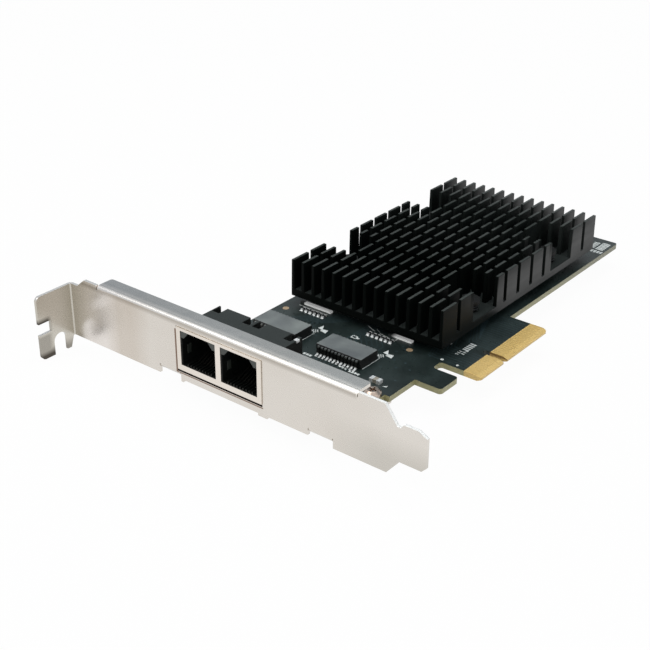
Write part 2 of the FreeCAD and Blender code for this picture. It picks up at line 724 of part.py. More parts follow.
def edge_contacts(label, face, sign):
    """Gold contacts of one side, on both sides of the key, bent over the board's bevel."""
    body = new_body(label)
    start = -bevel_run - contact_length
    drop = bevel_height * (bevel_run - contact_end) / bevel_run * sign
    skin = face + contact_thick * sign
    reach = contact_pitch * (NEAR_CONTACTS - 1)
    groups = (
        ("near", -contact_first - reach, reach, NEAR_CONTACTS),
        ("far", contact_first, contact_pitch * (FAR_CONTACTS - 1), FAR_CONTACTS),
    )
    for name, middle, run, count in groups:
        profile = new_sketch(body, "%s_%s_profile" % (label, name), "XZ_Plane",
                             -middle - contact_width / 2)
        outline(profile, [
            (start, face),
            (-bevel_run, face),
            (-contact_end, face - drop),
            (-contact_end, skin - drop),
            (-bevel_run, skin),
            (start, skin),
        ])
        contact = pad(body, profile, contact_width, "%s_%s_contact" % (label, name))
        pattern(body, contact, "Y_Axis", run, count, "%s_%s_contacts" % (label, name))


# ---------------------------------------------------------------- heat sink

def heat_sink():
    """An extrusion of tapered fins, sawn across into pins and milled for its fasteners."""
    body = new_body("heat_sink")
    base_top = sink_bottom + base_thick
    base_sketch = new_sketch(body, "base_outline", "XY_Plane", sink_bottom)
    rectangle(base_sketch, sink_x, -sink_near, -sink_right, sink_length - sink_near)
    pad(body, base_sketch, base_thick, "base")

    taper = (fin_root - fin_tip) / 2
    fin_sketch = new_sketch(body, "fin_profile", "XZ_Plane", sink_near - sink_length)
    outline(fin_sketch, [
        (sink_x, base_top),
        (sink_x + fin_root, base_top),
        (sink_x + fin_root - taper, base_top + fin_height),
        (sink_x + taper, base_top + fin_height),
    ])
    fin = pad(body, fin_sketch, sink_length, "fin")
    pattern(body, fin, "X_Axis", sink_width - fin_root, FIN_COUNT, "fins")

    half_inner = inner_pitch * INNER_ROWS / 2
    cut_groups = (
        ("inner", sink_middle_y - half_inner, inner_pitch * INNER_ROWS, INNER_ROWS + 1),
        ("near", sink_middle_y - half_inner - outer_pitch * 2, outer_pitch, 2),
        ("far", sink_middle_y + half_inner + outer_pitch, outer_pitch, 2),
    )
    for name, start, run, count in cut_groups:
        saw = new_sketch(body, name + "_saw_outline", "YZ_Plane", sink_middle_x)
        rectangle(saw, start - saw_width / 2, base_top, start + saw_width / 2,
                  base_top + fin_height + saw_width)
        cut = pocket(body, saw, name + "_saw_cut")
        pattern(body, cut, "Y_Axis", run, count, name + "_saw_cuts")

    pockets = new_sketch(body, "pocket_outline", "XY_Plane", base_top)
    margin = pocket_width / 2
    for centre in (sink_middle_y - pocket_offset, sink_middle_y + pocket_offset):
        low = centre - pocket_length / 2
        high = centre + pocket_length / 2
        rectangle(pockets, sink_x - margin, low, sink_x + pocket_width, high)
        rectangle(pockets, -sink_right - pocket_width, low, margin - sink_right, high)
    pocket(body, pockets, "fastener_pockets", length=fin_height * 2, back=True)

    holes = new_sketch(body, "fastener_hole_outline", "XY_Plane", sink_bottom)
    for x, y in push_pin_places():
        circle(holes, x, y, push_shank / 2 + push_clearance)
    pocket(body, holes, "fastener_holes")
    return body


def push_pins():
    """Four barbed pins that hold the heat sink down through its springs."""
    shank = push_shank / 2
    head = sink_bottom + base_thick + coil_high
    turned("heat_sink_pins", push_pin_places(), [
        (0, -board_thick - push_barb_long),
        (push_barb / 2, -board_thick),
        (shank, -board_thick),
        (shank, head),
        (push_head / 2, head),
        (push_head / 2, head + push_head_high),
        (0, head + push_head_high),
    ])


def springs():
    """Four compressed springs under the heads of the pins, each as a plain sleeve."""
    low = sink_bottom + base_thick
    turned("heat_sink_springs", push_pin_places(), [
        (coil_inner / 2, low),
        (coil_outer / 2, low),
        (coil_outer / 2, low + coil_high),
        (coil_inner / 2, low + coil_high),
    ])


def controller():
    """Ball-grid package: ball field, laminate base and metal lid, centred under the heat sink."""
    body = new_body("controller_chip")
    steps = (
        ("ball_field", as_size(0), chip_side - chip_balls * 2, chip_balls),
        ("substrate", chip_balls, chip_side, chip_base),
        ("lid", chip_balls + chip_base, chip_lid_side, chip_lid),
    )
    for name, low, side, height in steps:
        layer = new_sketch(body, name + "_outline", "XY_Plane", low)
        half = side / 2
        rectangle(layer, sink_middle_x - half, sink_middle_y - half,
                  sink_middle_x + half, sink_middle_y + half)
        pad(body, layer, height, name)
    return body


def thermal_pad():
    half = chip_lid_side / 2
    item = block("thermal_pad", sink_middle_x - half, sink_middle_y - half,
                 chip_balls + chip_base + chip_lid, chip_lid_side, chip_lid_side, pad_thick)
    return node(item, "thermal_pad")


# ---------------------------------------------------------------- twin jack

def jack_shield():
    """Folded shell: front frame with two ports, short side walls and a top lip."""
    body = new_body("jack_shield")
    front = bracket_outer - jack_front
    rear = bracket_y + stiffener_depth - sheet_thick
    right = jack_left + jack_width
    frame = new_sketch(body, "frame_outline", "XZ_Plane", -front - shield_thick)
    rectangle(frame, jack_left, 0, right, jack_height)
    pad(body, frame, shield_thick, "front_frame")
    for name, x in (("left", jack_left), ("right", right - shield_thick)):
        wall = new_sketch(body, name + "_wall_outline", "YZ_Plane", x)
        rectangle(wall, front, 0, rear, jack_height)
        pad(body, wall, shield_thick, name + "_wall")
    lip = new_sketch(body, "lip_outline", "XY_Plane", jack_height - shield_thick)
    rectangle(lip, jack_left, front, right, rear)
    pad(body, lip, shield_thick, "top_lip")
    openings = new_sketch(body, "port_outline", "XZ_Plane", -front - shield_thick)
    for x in port_centres():
        rectangle(openings, x - port_width / 2, port_low, x + port_width / 2,
                  port_low + port_height)
    pocket(body, openings, "ports", length=shield_thick * 2, back=True)
    return body


def jack_housing():
    """Moulded twin housing with plug cavities, latch channels and notches in its rear edge."""
    body = new_body("jack_housing")
    front = bracket_outer - jack_front + shield_thick
    rear = bracket_y + jack_rear
    right = jack_left + jack_width
    top = jack_height - shield_thick
    block_sketch = new_sketch(body, "housing_outline", "XZ_Plane", -rear)
    rectangle(block_sketch, jack_left + shield_thick, 0, right - shield_thick, top)
    pad(body, block_sketch, rear - front, "housing")
    cavity = new_sketch(body, "cavity_outline", "XZ_Plane", -front)
    channel = new_sketch(body, "channel_outline", "XZ_Plane", -front)
    notches = new_sketch(body, "notch_outline", "XY_Plane", top)
    shelf = port_low + plug_height
    for x in port_centres():
        rectangle(cavity, x - plug_width / 2, port_low, x + plug_width / 2, shelf)
        outline(channel, [
            (x - latch_width / 2, shelf - latch_height),
            (x + latch_width / 2, shelf - latch_height),
            (x + latch_width / 2, shelf),
            (x + latch_top / 2, shelf + latch_height),
            (x - latch_top / 2, shelf + latch_height),
            (x - latch_width / 2, shelf),
        ])
        for notch_x in (x - rear_notch_left, x + rear_notch_right):
            rectangle(notches, notch_x, rear - rear_notch_depth, notch_x + rear_notch_width,
                      rear + rear_notch_depth)
    pocket(body, cavity, "plug_cavities", length=plug_depth)
    pocket(body, channel, "latch_channels", length=latch_depth)
    pocket(body, notches, "rear_notches", length=rear_notch_high)
    return body


def jack_contacts(label, port_x):
    """Eight sprung wires that rise from the cavity's floor to its rear wall."""
    body = new_body(label)
    cavity_rear = bracket_outer - jack_front + shield_thick + plug_depth
    foot = cavity_rear - wire_reach
    first = port_x - wire_pitch * (WIRES_PER_PORT - 1) / 2 - wire_width / 2
    profile = new_sketch(body, label + "_profile", "YZ_Plane", first)
    outline(profile, [
        (foot, port_low),
        (foot + wire_thick * 2, port_low),
        (cavity_rear, port_low + wire_rise),
        (cavity_rear, port_low + wire_rise + wire_thick),
        (foot + wire_thick, port_low + wire_thick),
        (foot, port_low + wire_thick),
    ])
    wire = pad(body, profile, wire_width, label + "_wire")
    pattern(body, wire, "X_Axis", wire_pitch * (WIRES_PER_PORT - 1), WIRES_PER_PORT,
            label + "_wires")
    return body


def solder_pins():
    """Square pins from the housing's floor through the board."""
    items = []
    for index, (x, y) in enumerate(solder_pin_places()):
        items.append(block("solder_pin_%d" % index, x - pin_side / 2, y - pin_side / 2,
                           -board_thick - pin_reach, pin_side, pin_side, board_thick + pin_reach))
    return group("jack_solder_pins", items)


# ---------------------------------------------------------------- magnetics

def module_centres():
    return [-magnetics_right - magnetics_pitch, -magnetics_right]


def magnetics(label, centre):
    """Moulded module with drafted long sides that meet at the lead plane."""
    body = new_body(label)
    near = bracket_y + magnetics_near
    far = near + magnetics_length
    draft = lead_thick
    profile = new_sketch(body, label + "_profile", "YZ_Plane", centre - magnetics_width / 2)
    outline(profile, [
        (near + draft, magnetics_stand),
        (far - draft, magnetics_stand),
        (far, lead_high - lead_thick / 2),
        (far, lead_high + lead_thick / 2),
        (far - draft, magnetics_high),
        (near + draft, magnetics_high),
        (near, lead_high + lead_thick / 2),
        (near, lead_high - lead_thick / 2),
    ])
    pad(body, profile, magnetics_width, label + "_moulding")
    return body


def magnetics_leads(label, centre):
    """Gull-wing leads along both long sides of a module."""
    body = new_body(label)
    near = bracket_y + magnetics_near
    far = near + magnetics_length
    run = lead_pitch * (LEADS_PER_SIDE - 1)
    first = centre - run / 2 - lead_width / 2
    half = lead_thick / 2
    for side, start, sign in (("near", near, -1), ("far", far, 1)):
        heel = start + (lead_reach - lead_foot) * sign
        toe = start + lead_reach * sign
        bend = start + lead_thick * sign
        profile = new_sketch(body, "%s_%s_profile" % (label, side), "YZ_Plane", first)
        outline(profile, [
            (start, lead_high + half),
            (bend + lead_thick * sign, lead_high + half),
            (heel + half * sign, lead_thick),
            (toe, lead_thick),
            (toe, 0),
            (heel - half * sign, 0),
            (bend, lead_high - half),
            (start, lead_high - half),
        ])
        lead = pad(body, profile, lead_width, "%s_%s_lead" % (label, side))
        pattern(body, lead, "X_Axis", run, LEADS_PER_SIDE, "%s_%s_leads" % (label, side))
    return body


# ---------------------------------------------------------------- fasteners and small parts

def bracket_screws():
    """Pan-head screws through the board into the bracket's tabs, each with a cross recess."""
    length = board_thick + sheet_thick
    thread = screw_diameter / 2
    body = turned(
        "bracket_screws", screw_places(),
        [(0, -length), (thread, -length), (thread, 0), (screw_head / 2, 0),
         (screw_head / 2, screw_head_high - screw_crown),
         (screw_head / 2 - screw_crown, screw_head_high), (0, screw_head_high)])
    cross = new_sketch(body, "cross_outline", "XY_Plane", screw_head_high)
    arm = screw_head / 4
    slim = screw_slim / 2
    for x, y in screw_places():
        outline(cross, [
            (x - arm, y - slim), (x - slim, y - slim), (x - slim, y - arm), (x + slim, y - arm),
            (x + slim, y - slim), (x + arm, y - slim), (x + arm, y + slim), (x + slim, y + slim),
            (x + slim, y + arm), (x - slim, y + arm), (x - slim, y + slim), (x - arm, y + slim),
        ])
    pocket(body, cross, "cross_recesses", length=screw_recess)


def small_parts():
    """Parts soldered before and around the controller and along the board's far edge."""
    filters = [(-filter_left, filter_left_length), (-filter_right, filter_right_length)]
    group("line_filters", [
        block("line_filter_%d" % index, x - length / 2, -filter_row - filter_width / 2, 0,
              length, filter_width, filter_high)
        for index, (x, length) in enumerate(filters)
    ])
    chips("chip_resistors",
          [(x, -resistor_row) for middle in (-resistor_left, -resistor_right)
           for x in row(middle, resistor_pitch, RESISTORS_PER_ROW)],
          resistor_width, resistor_length, resistor_high)
    side = chip_side / 2 + part_gap
    chips("crystal", [(sink_middle_x - side, sink_middle_y)], crystal_width, crystal_length,
          crystal_high)
    chips("flash_memory", [(sink_middle_x + side, sink_middle_y)], memory_width, memory_length,
          memory_high)
    far_row = board_far - part_gap - inductor_side / 2
    coil_x = [sink_middle_x - part_gap - inductor_side, sink_middle_x]
    chips("power_inductors", [(x, far_row) for x in coil_x], inductor_side, inductor_side,
          inductor_high)
    chips("regulator_chips", [(sink_middle_x + part_gap + inductor_side, far_row)],
          memory_width, memory_width, crystal_high)
    near_row = board_near + tab_length - screw_setback + cap_length + cap_width
    caps = [(-tab_right - cap_length, near_row)]
    caps += [(x, far_row - inductor_side) for x in coil_x]
    caps += [(x, sink_middle_y + side) for x in row(sink_middle_x, cap_pitch, CAPACITORS_PER_ROW)]
    chips("chip_capacitors", caps, cap_length, cap_width, cap_high)
    chips("bottom_capacitors",
          [(x, y) for x in row(sink_middle_x, under_pitch, UNDER_COLUMNS)
           for y in row(sink_middle_y, under_pitch, UNDER_ROWS)],
          cap_length / 2, cap_width / 2, cap_high / 2, -board_thick - cap_high / 2)


def build():
    bracket()
    circuit_board()
    edge_contacts("edge_contacts_top", as_size(0), 1)
    edge_contacts("edge_contacts_bottom", -board_thick, -1)
    heat_sink()
    push_pins()
    springs()
    controller()
    thermal_pad()
    jack_shield()
    jack_housing()
    jack_contacts("jack_contacts_left", port_centres()[0])
    jack_contacts("jack_contacts_right", port_centres()[1])
    solder_pins()
    magnetics("magnetics_left", module_centres()[0])
    magnetics("magnetics_right", module_centres()[1])
    magnetics_leads("magnetics_leads_left", module_centres()[0])
    magnetics_leads("magnetics_leads_right", module_centres()[1])
    bracket_screws()
    small_parts()


build()
doc.recompute()
for item in doc.Objects:
    if "Invalid" in item.State or "Error" in item.State:
        raise RuntimeError("%s did not build: %s" % (item.Name, item.State))
os.makedirs("parts", exist_ok=True)
for item in nodes:
    if item.Shape.isNull() or not item.Shape.isValid():
        raise RuntimeError("%s has no valid shape" % item.Label)
    item.Shape.exportStep("parts/%s.step" % item.Label)
    print("%-24s %3d solids %10.2f mm3" % (item.Label, len(item.Shape.Solids), item.Shape.Volume))
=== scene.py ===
"""Looks of the network interface card: finishes, printed and soldered detail, light, camera."""

import math
import random

import bmesh
import bpy
from mathutils import Matrix, Vector

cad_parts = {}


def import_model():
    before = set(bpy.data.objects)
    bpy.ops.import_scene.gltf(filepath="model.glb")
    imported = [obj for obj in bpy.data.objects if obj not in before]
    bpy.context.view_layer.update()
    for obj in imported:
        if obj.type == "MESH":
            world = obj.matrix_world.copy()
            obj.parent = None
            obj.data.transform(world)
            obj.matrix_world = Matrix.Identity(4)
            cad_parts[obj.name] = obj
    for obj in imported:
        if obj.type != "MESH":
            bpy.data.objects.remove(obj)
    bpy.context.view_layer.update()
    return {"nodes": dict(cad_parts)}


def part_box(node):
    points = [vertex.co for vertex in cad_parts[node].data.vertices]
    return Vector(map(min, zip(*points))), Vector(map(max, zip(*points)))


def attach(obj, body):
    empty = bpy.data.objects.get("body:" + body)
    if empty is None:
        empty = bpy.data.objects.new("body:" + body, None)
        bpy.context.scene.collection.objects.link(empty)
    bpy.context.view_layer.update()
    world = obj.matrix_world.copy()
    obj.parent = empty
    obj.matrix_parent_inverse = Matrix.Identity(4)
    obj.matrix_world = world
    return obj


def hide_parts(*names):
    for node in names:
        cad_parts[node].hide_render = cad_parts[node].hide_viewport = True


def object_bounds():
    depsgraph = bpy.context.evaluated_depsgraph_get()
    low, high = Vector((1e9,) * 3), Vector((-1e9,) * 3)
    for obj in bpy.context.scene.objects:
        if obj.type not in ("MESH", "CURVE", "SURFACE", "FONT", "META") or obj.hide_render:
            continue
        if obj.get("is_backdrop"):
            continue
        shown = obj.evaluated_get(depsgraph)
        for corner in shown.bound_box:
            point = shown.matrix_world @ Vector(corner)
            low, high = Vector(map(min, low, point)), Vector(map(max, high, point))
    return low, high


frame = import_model()
nodes = frame["nodes"]
MM = 0.001
random.seed(7)


# ------------------------------------------------------------ node helpers

WHITE = (1, 1, 1, 1)
MIDDLE = (0.3, 0.7)     # the part of a noise's range that tones and roughness spread over
EVEN = (1, 1, 1)        # a noise of one size on every axis
BRUSHED = (0.03, 1.2, 1.2)
MASK_BLEND = 0.02       # mm over which a mask turns on


def linear(*rgb):
    """Scene colour of an sRGB colour given in 0..255."""
    out = []
    for value in rgb:
        value /= 255
        out.append(value / 12.92 if value <= 0.04045 else ((value + 0.055) / 1.055) ** 2.4)
    return (*out, 1)


class Shader:
    """A principled material with object coordinates in millimetres."""

    def __init__(self, name, **settings):
        self.material = bpy.data.materials.new(name)
        self.material.use_nodes = True
        self.tree = self.material.node_tree
        self.tree.nodes.clear()
        self.surface = self.add("ShaderNodeBsdfPrincipled")
        output = self.add("ShaderNodeOutputMaterial")
        self.link(self.surface.outputs[0], output.inputs["Surface"])
        for key, value in settings.items():
            self.surface.inputs[key.replace("_", " ")].default_value = value

    def add(self, kind, **settings):
        node = self.tree.nodes.new(kind)
        for key, value in settings.items():
            setattr(node, key, value)
        return node

    def link(self, source, target):
        self.tree.links.new(source, target)

    def drive(self, source, name):
        """Feed one socket of the surface."""
        self.link(source, self.surface.inputs[name])
        return self

    def colour(self, source):
        return self.drive(source, "Base Color")

    def rough(self, source, low, high):
        """Roughness from low to high over the middle of a noise."""
        return self.drive(self.level(source, low, high, *MIDDLE), "Roughness")

    def bump(self, height, strength, distance_mm):
        node = self.add("ShaderNodeBump")
        node.inputs["Strength"].default_value = strength
        node.inputs["Distance"].default_value = distance_mm * MM
        self.link(height, node.inputs["Height"])
        return self.drive(node.outputs["Normal"], "Normal")

    def place(self, stretch=EVEN):
        """Object coordinates in millimetres, stretched by a factor on each axis."""
        coords = self.add("ShaderNodeTexCoord")
        mapping = self.add("ShaderNodeMapping")
        mapping.inputs["Scale"].default_value = [factor / MM for factor in stretch]
        self.link(coords.outputs["Object"], mapping.inputs["Vector"])
        return mapping.outputs["Vector"]

    def noise(self, scale, detail=3, stretch=EVEN):
        node = self.add("ShaderNodeTexNoise")
        node.inputs["Scale"].default_value = scale
        node.inputs["Detail"].default_value = detail
        self.link(self.place(stretch), node.inputs["Vector"])
        return node.outputs["Fac"]

    def tones(self, source, low, high, spread=MIDDLE):
        """From one sRGB colour to another over part of a noise's range."""
        node = self.add("ShaderNodeValToRGB")
        for element, position, rgb in zip(node.color_ramp.elements, spread, (low, high)):
            element.position = position
            element.color = linear(*rgb)
        self.link(source, node.inputs["Fac"])
        return node.outputs["Color"]

    def level(self, source, low, high, start=0.0, end=1.0):
        """Map a value from start..end to low..high."""
        node = self.add("ShaderNodeMapRange")
        ends = {"From Min": start, "From Max": end, "To Min": low, "To Max": high}
        for name, value in ends.items():
            node.inputs[name].default_value = value
        self.link(source, node.inputs["Value"])
        return node.outputs["Result"]

    def inverse(self, source):
        return self.level(source, 1, 0)

    def mix(self, factor, first, second, blend="MIX"):
        node = self.add("ShaderNodeMix", data_type="RGBA", blend_type=blend)
        for socket, value in ((0, factor), (6, first), (7, second)):
            if isinstance(value, bpy.types.NodeSocket):
                self.link(value, node.inputs[socket])
            else:
                node.inputs[socket].default_value = value
        return node.outputs[2]

    def joined(self, operation, first, *others):
        for other in others:
            node = self.add("ShaderNodeMath", operation=operation)
            self.link(first, node.inputs[0])
            self.link(other, node.inputs[1])
            first = node.outputs[0]
        return first

    def times(self, *factors):
        return self.joined("MULTIPLY", *factors)

    def most(self, *values):
        return self.joined("MAXIMUM", *values)

    def beyond(self, axis, start, end):
        """0 before start and 1 past end along an axis, in millimetres."""
        split = self.add("ShaderNodeSeparateXYZ")
        self.link(self.place(), split.inputs["Vector"])
        return self.level(split.outputs[axis], 0, 1, start, end)

    def before(self, axis, start, end):
        """1 before start and 0 past end along an axis, in millimetres."""
        return self.inverse(self.beyond(axis, start, end))

    def within(self, axis, start, end, blend=MASK_BLEND):
        """1 between two places along an axis, 0 outside them."""
        return self.times(self.beyond(axis, start, start + blend),
                          self.before(axis, end - blend, end))

    def upright(self, flatness=0.4):
        """1 on faces that look sideways, 0 on faces that look up or down more than flatness."""
        geometry = self.add("ShaderNodeNewGeometry")
        split = self.add("ShaderNodeSeparateXYZ")
        self.link(geometry.outputs["True Normal"], split.inputs["Vector"])
        size = self.add("ShaderNodeMath", operation="ABSOLUTE")
        self.link(split.outputs["Z"], size.inputs[0])
        side = self.add("ShaderNodeMath", operation="LESS_THAN")
        self.link(size.outputs[0], side.inputs[0])
        side.inputs[1].default_value = flatness
        return side.outputs[0]


# ------------------------------------------------------------ materials
# A pair of places along an axis says where a zone starts to turn and where it has turned.

def sheet_metal(name, low, high, rough, grain=EVEN, metallic=1.0):
    """Plated metal with a fine grain and faint clouds."""
    shader = Shader(name, Metallic=metallic)
    fine = shader.noise(1.0, 2, grain)
    shader.colour(shader.tones(shader.noise(0.05, 2), low, high))
    shader.rough(fine, *rough)
    return shader.bump(fine, 0.01, 0.01).material


def moulded(name, low, high, rough, scale, depth_mm=0.012, **settings):
    """Plastic, epoxy or ceramic with a fine eroded grain."""
    shader = Shader(name, **settings)
    grain = shader.noise(scale, 4)
    shader.colour(shader.tones(shader.noise(0.15, 2), low, high))
    shader.rough(grain, *rough)
    return shader.bump(grain, 0.2, depth_mm).material


def ear_hook_shade(shader):
    """Painted shade: darker tips of the ear's hooks."""
    ear_side, hook_side, hook_to_prong = (-58.9, -58.6), (-67.0, -65.6), (-63.5, -60.5)
    low_tip, low_hook, notch, high_hook = (-6.2, -3.8), (-0.4, 0.4), (0.5, 1.0), (4.2, 5.6)
    prong_share, flank_share = 0.55, 0.42
    outer = shader.before("Y", *hook_side)
    low_tips = shader.times(shader.before("Z", *low_tip),
                            shader.level(shader.beyond("Y", *hook_to_prong), 1, prong_share))
    flank = shader.times(shader.level(outer, 0, flank_share), shader.before("Z", *low_hook))
    high_tip = shader.times(outer, shader.beyond("Z", *notch), shader.before("Z", *high_hook))
    return shader.times(shader.most(low_tips, flank, high_tip), shader.before("Y", *ear_side))


def jack_gap_shadow(shader):
    """Painted shadow: the dark line on the face beside and below the window for the jack."""
    outer_side, right_end, blend, soft_blend = -64.95, -34.7, 0.12, 0.15
    side = shader.times(shader.within("X", outer_side, -64.1, soft_blend),
                        shader.within("Z", -1.4, 11.6, blend))
    sill = shader.times(shader.within("X", outer_side, right_end, blend),
                        shader.within("Z", -1.4, -0.9, soft_blend))
    return shader.times(shader.most(side, sill), shader.before("Y", -57.99, -57.97))


def bracket_steel():
    """Bright plated sheet with painted reflection and shade: darker towards the ear, a painted
    shade band below the fold, a painted shadow round the jack's window, less metallic cut edges,
    and sloping cut edges painted pale as a highlight.
    """
    shader = Shader("bracket_plate", Metallic=1.0)
    plate = shader.tones(shader.noise(0.05, 2), (214, 208, 200), (220, 215, 208))

    # Painted reflection and shade on the face: the plate is darker towards the ear and brighter a
    # little way from it.
    ear_shade, ear_mirror, ear_end = (-106, -98), (-92, -86), (-81, -74)
    face = shader.mix(shader.beyond("X", *ear_shade), linear(224, 224, 218), (1.12, 1.12, 1.15, 1))
    face = shader.mix(shader.beyond("X", *ear_mirror), face, linear(241, 237, 233))
    face = shader.mix(shader.beyond("X", *ear_end), face, WHITE)
    # Painted shade on the tips of the ear's hooks.
    face = shader.mix(ear_hook_shade(shader), face, linear(104, 100, 97), "MULTIPLY")
    # Painted shade: the face darkens low down over the tongue.
    tongue, foot_height = (-16, -1), (0.3, 7.5)
    foot = shader.times(shader.beyond("X", *tongue), shader.before("Z", *foot_height))
    face = shader.mix(foot, face, linear(236, 237, 236), "MULTIPLY")
    # Painted reflection on the flange: a bluish tint, lighter away from the ear.
    flange_length = (-96, -20)
    flange_reflection = shader.mix(shader.beyond("X", *flange_length), linear(226, 231, 239),
                        (1.02, 1.05, 1.08, 1))
    plate = shader.mix(shader.upright(), shader.mix(1.0, plate, flange_reflection, "MULTIPLY"),
                       shader.mix(1.0, plate, face, "MULTIPLY"))

    # Painted shade: a darker band on the face just below the fold, up to the flange's end.
    fold_start, fold_end, flange_end = (12.4, 13.6), (13.7, 14.3), (-6.2, -5.6)
    fold_shade = shader.times(shader.beyond("Z", *fold_start), shader.before("Z", *fold_end),
                        shader.upright(), shader.before("X", *flange_end))
    face_side = (-57.5, -57.9)
    plate = shader.mix(shader.times(fold_shade, shader.beyond("Y", *face_side)), plate,
                       shader.mix(1.0, plate, linear(212, 210, 207), "MULTIPLY"))
    # Painted shadow beside and below the jack's window.
    plate = shader.mix(jack_gap_shadow(shader), plate, linear(128, 106, 92))

    sloping, lying, past_flange = 0.3, 0.985, (-5.4, -5.3)
    slope = shader.times(shader.inverse(shader.upright(sloping)),
                         shader.beyond("X", *past_flange))
    # Painted highlight: sloping edge faces past the flange are near white.
    plate = shader.mix(slope, plate, linear(246, 246, 244))
    # Painted shade: the cut walls of the jack's window, inside the sheet, are dark brown.
    window_width, window_height, sheet = (-64.6, -34.7), (-1.1, 12.8), (-57.97, -57.19)
    window_shade = shader.times(shader.within("X", *window_width), shader.within("Z", *window_height),
                          shader.within("Y", *sheet))
    shader.colour(shader.mix(window_shade, plate, linear(70, 56, 48)))

    sheet_rear, cut_metallic = (-57.3, -57.2), 0.2
    edge = shader.times(shader.most(slope, shader.inverse(shader.upright(lying))),
                        shader.before("Y", *sheet_rear))
    shader.drive(shader.level(edge, 1, cut_metallic), "Metallic")
    shader.rough(shader.noise(0.4, 2), 0.25, 0.29)
    fold_rear, roll_mm = (-56.7, -54.7), 0.26
    near = shader.before("Y", *fold_rear)
    return shader.bump(shader.level(shader.times(near, near), 0, -1), 1.0, roll_mm).material


def lead_material():
    """Tinned leads with painted light: shoulders painted paler where lit, legs painted dark where
    shaded, feet bright with solder.
    """
    shader = Shader("lead_tin", Metallic=0.6)
    foot_top, shoulder_foot = (0.5, 0.7), (2.0, 2.1)
    fine = shader.noise(1.0, 2)
    # Painted light: the shoulders are paler and the legs darker, by height.
    lit_shoulder = shader.tones(fine, (112, 116, 115), (128, 132, 131))
    shaded_leg = shader.tones(fine, (24, 26, 24), (34, 36, 34))
    foot = shader.tones(fine, (224, 226, 226), (238, 240, 240))
    lower = shader.mix(shader.beyond("Z", *foot_top), foot, shaded_leg)
    shader.colour(shader.mix(shader.beyond("Z", *shoulder_foot), lower, lit_shoulder))
    return shader.rough(fine, 0.35, 0.45).material


def board_material():
    """Dark solder mask, layered cut edges and a bare gilt tongue."""
    shader = Shader("solder_mask", IOR=1.42)
    weave = shader.noise(0.9, 2)
    pour = shader.noise(0.12, 3)
    fibre = shader.noise(3.0, 3, (1, 1, 14))
    cut_spread = (0.35, 0.65)
    mask = shader.tones(pour, (27, 36, 35), (37, 47, 46), (0.42, 0.58))
    cut = shader.tones(fibre, (136, 134, 96), (172, 166, 128), cut_spread)
    faded = shader.tones(fibre, (118, 118, 98), (142, 140, 120), cut_spread)
    bare = shader.tones(pour, (211, 180, 113), (218, 188, 122), cut_spread)

    faded_length, mid_laminate = (30, 80), (-0.9, -0.6)
    key_reach, key_near, key_far, key_shade_reach = (-8, -7.5), (-1.3, -1.1), (1.1, 1.3), (-5.6, -5.4)
    gilt_start, gilt_near = (-5.35, -5.25), (-13.2, -12.9)
    key = shader.times(shader.beyond("X", *key_reach), shader.beyond("Y", *key_near),
                       shader.before("Y", *key_far))
    key_wall = shader.mix(shader.beyond("Z", *mid_laminate), linear(202, 168, 98),
                          linear(124, 96, 46))
    # Painted shade: the key slot's wall is dark at its deep end.
    key_wall = shader.mix(shader.beyond("X", *key_shade_reach), linear(44, 50, 48), key_wall)
    tongue = shader.times(shader.beyond("X", *gilt_start), shader.beyond("Y", *gilt_near))
    cut = shader.mix(shader.beyond("Y", *faded_length), cut, faded)
    cut = shader.mix(key, shader.mix(tongue, cut, bare), key_wall)
    shader.colour(shader.mix(shader.upright(), shader.mix(tongue, mask, bare), cut))
    shader.rough(weave, 0.27, 0.37)
    return shader.bump(weave, 0.08, 0.02).material


def anodised():
    """Black anodised extrusion with painted light: a painted sheen on the satin outer sides,
    painted shade in the dull channels, and paler tops.
    """
    shader = Shader("black_anodised", IOR=1.35)
    die = shader.noise(1.0, 4, (4, 0.08, 0.6))
    cloud = shader.noise(0.1, 2)
    flank = shader.beyond("X", -13.75, -13.6)

    # Painted light: the fin sides lighten towards the rear, the outer side is lighter than the
    # inner ones, and flats and fin tops are paler than the sides.
    rear_half, fin_tops = (16, 58), (13.7, 13.8)
    inside = shader.mix(shader.beyond("Y", *rear_half),
                        shader.tones(cloud, (8, 11, 10), (11, 14, 13)),
                        shader.tones(cloud, (26, 30, 29), (33, 37, 36)))
    side = shader.mix(flank, inside, shader.tones(cloud, (12, 15, 14), (18, 21, 20)))
    channel = shader.tones(cloud, (36, 40, 39), (44, 48, 47))
    top = shader.tones(cloud, (48, 52, 51), (60, 64, 62))
    flat = shader.mix(shader.beyond("Z", *fin_tops), channel, top)
    shader.colour(shader.mix(shader.upright(0.97), flat, side))

    # Painted sheen and shade: reflection is strongest on the outer side towards the back and top
    # and on the rear fins, and is cut in the pockets.
    front, height, rear_fins = (-12, 26), (3.5, 11.0), (60, 74)
    front_pocket, rear_pocket = (3.0, 17.2), (45.4, 59.6)
    reach = shader.times(shader.level(shader.beyond("Y", *front), 0.1, 1),
                         shader.level(shader.beyond("Z", *height), 0.55, 1))
    rear = shader.level(shader.beyond("Y", *rear_fins), 0, 0.72)
    painted_sheen = shader.level(shader.most(shader.times(flank, reach), rear), 0.2, 1)
    pockets = shader.joined("ADD", shader.within("Y", *front_pocket),
                            shader.within("Y", *rear_pocket))
    painted_sheen = shader.times(painted_sheen, shader.inverse(shader.times(pockets, shader.inverse(flank))))
    shader.drive(shader.level(painted_sheen, 1.01, 1.46), "IOR")
    shader.rough(die, 0.32, 0.42)
    return shader.bump(die, 0.06, 0.02).material


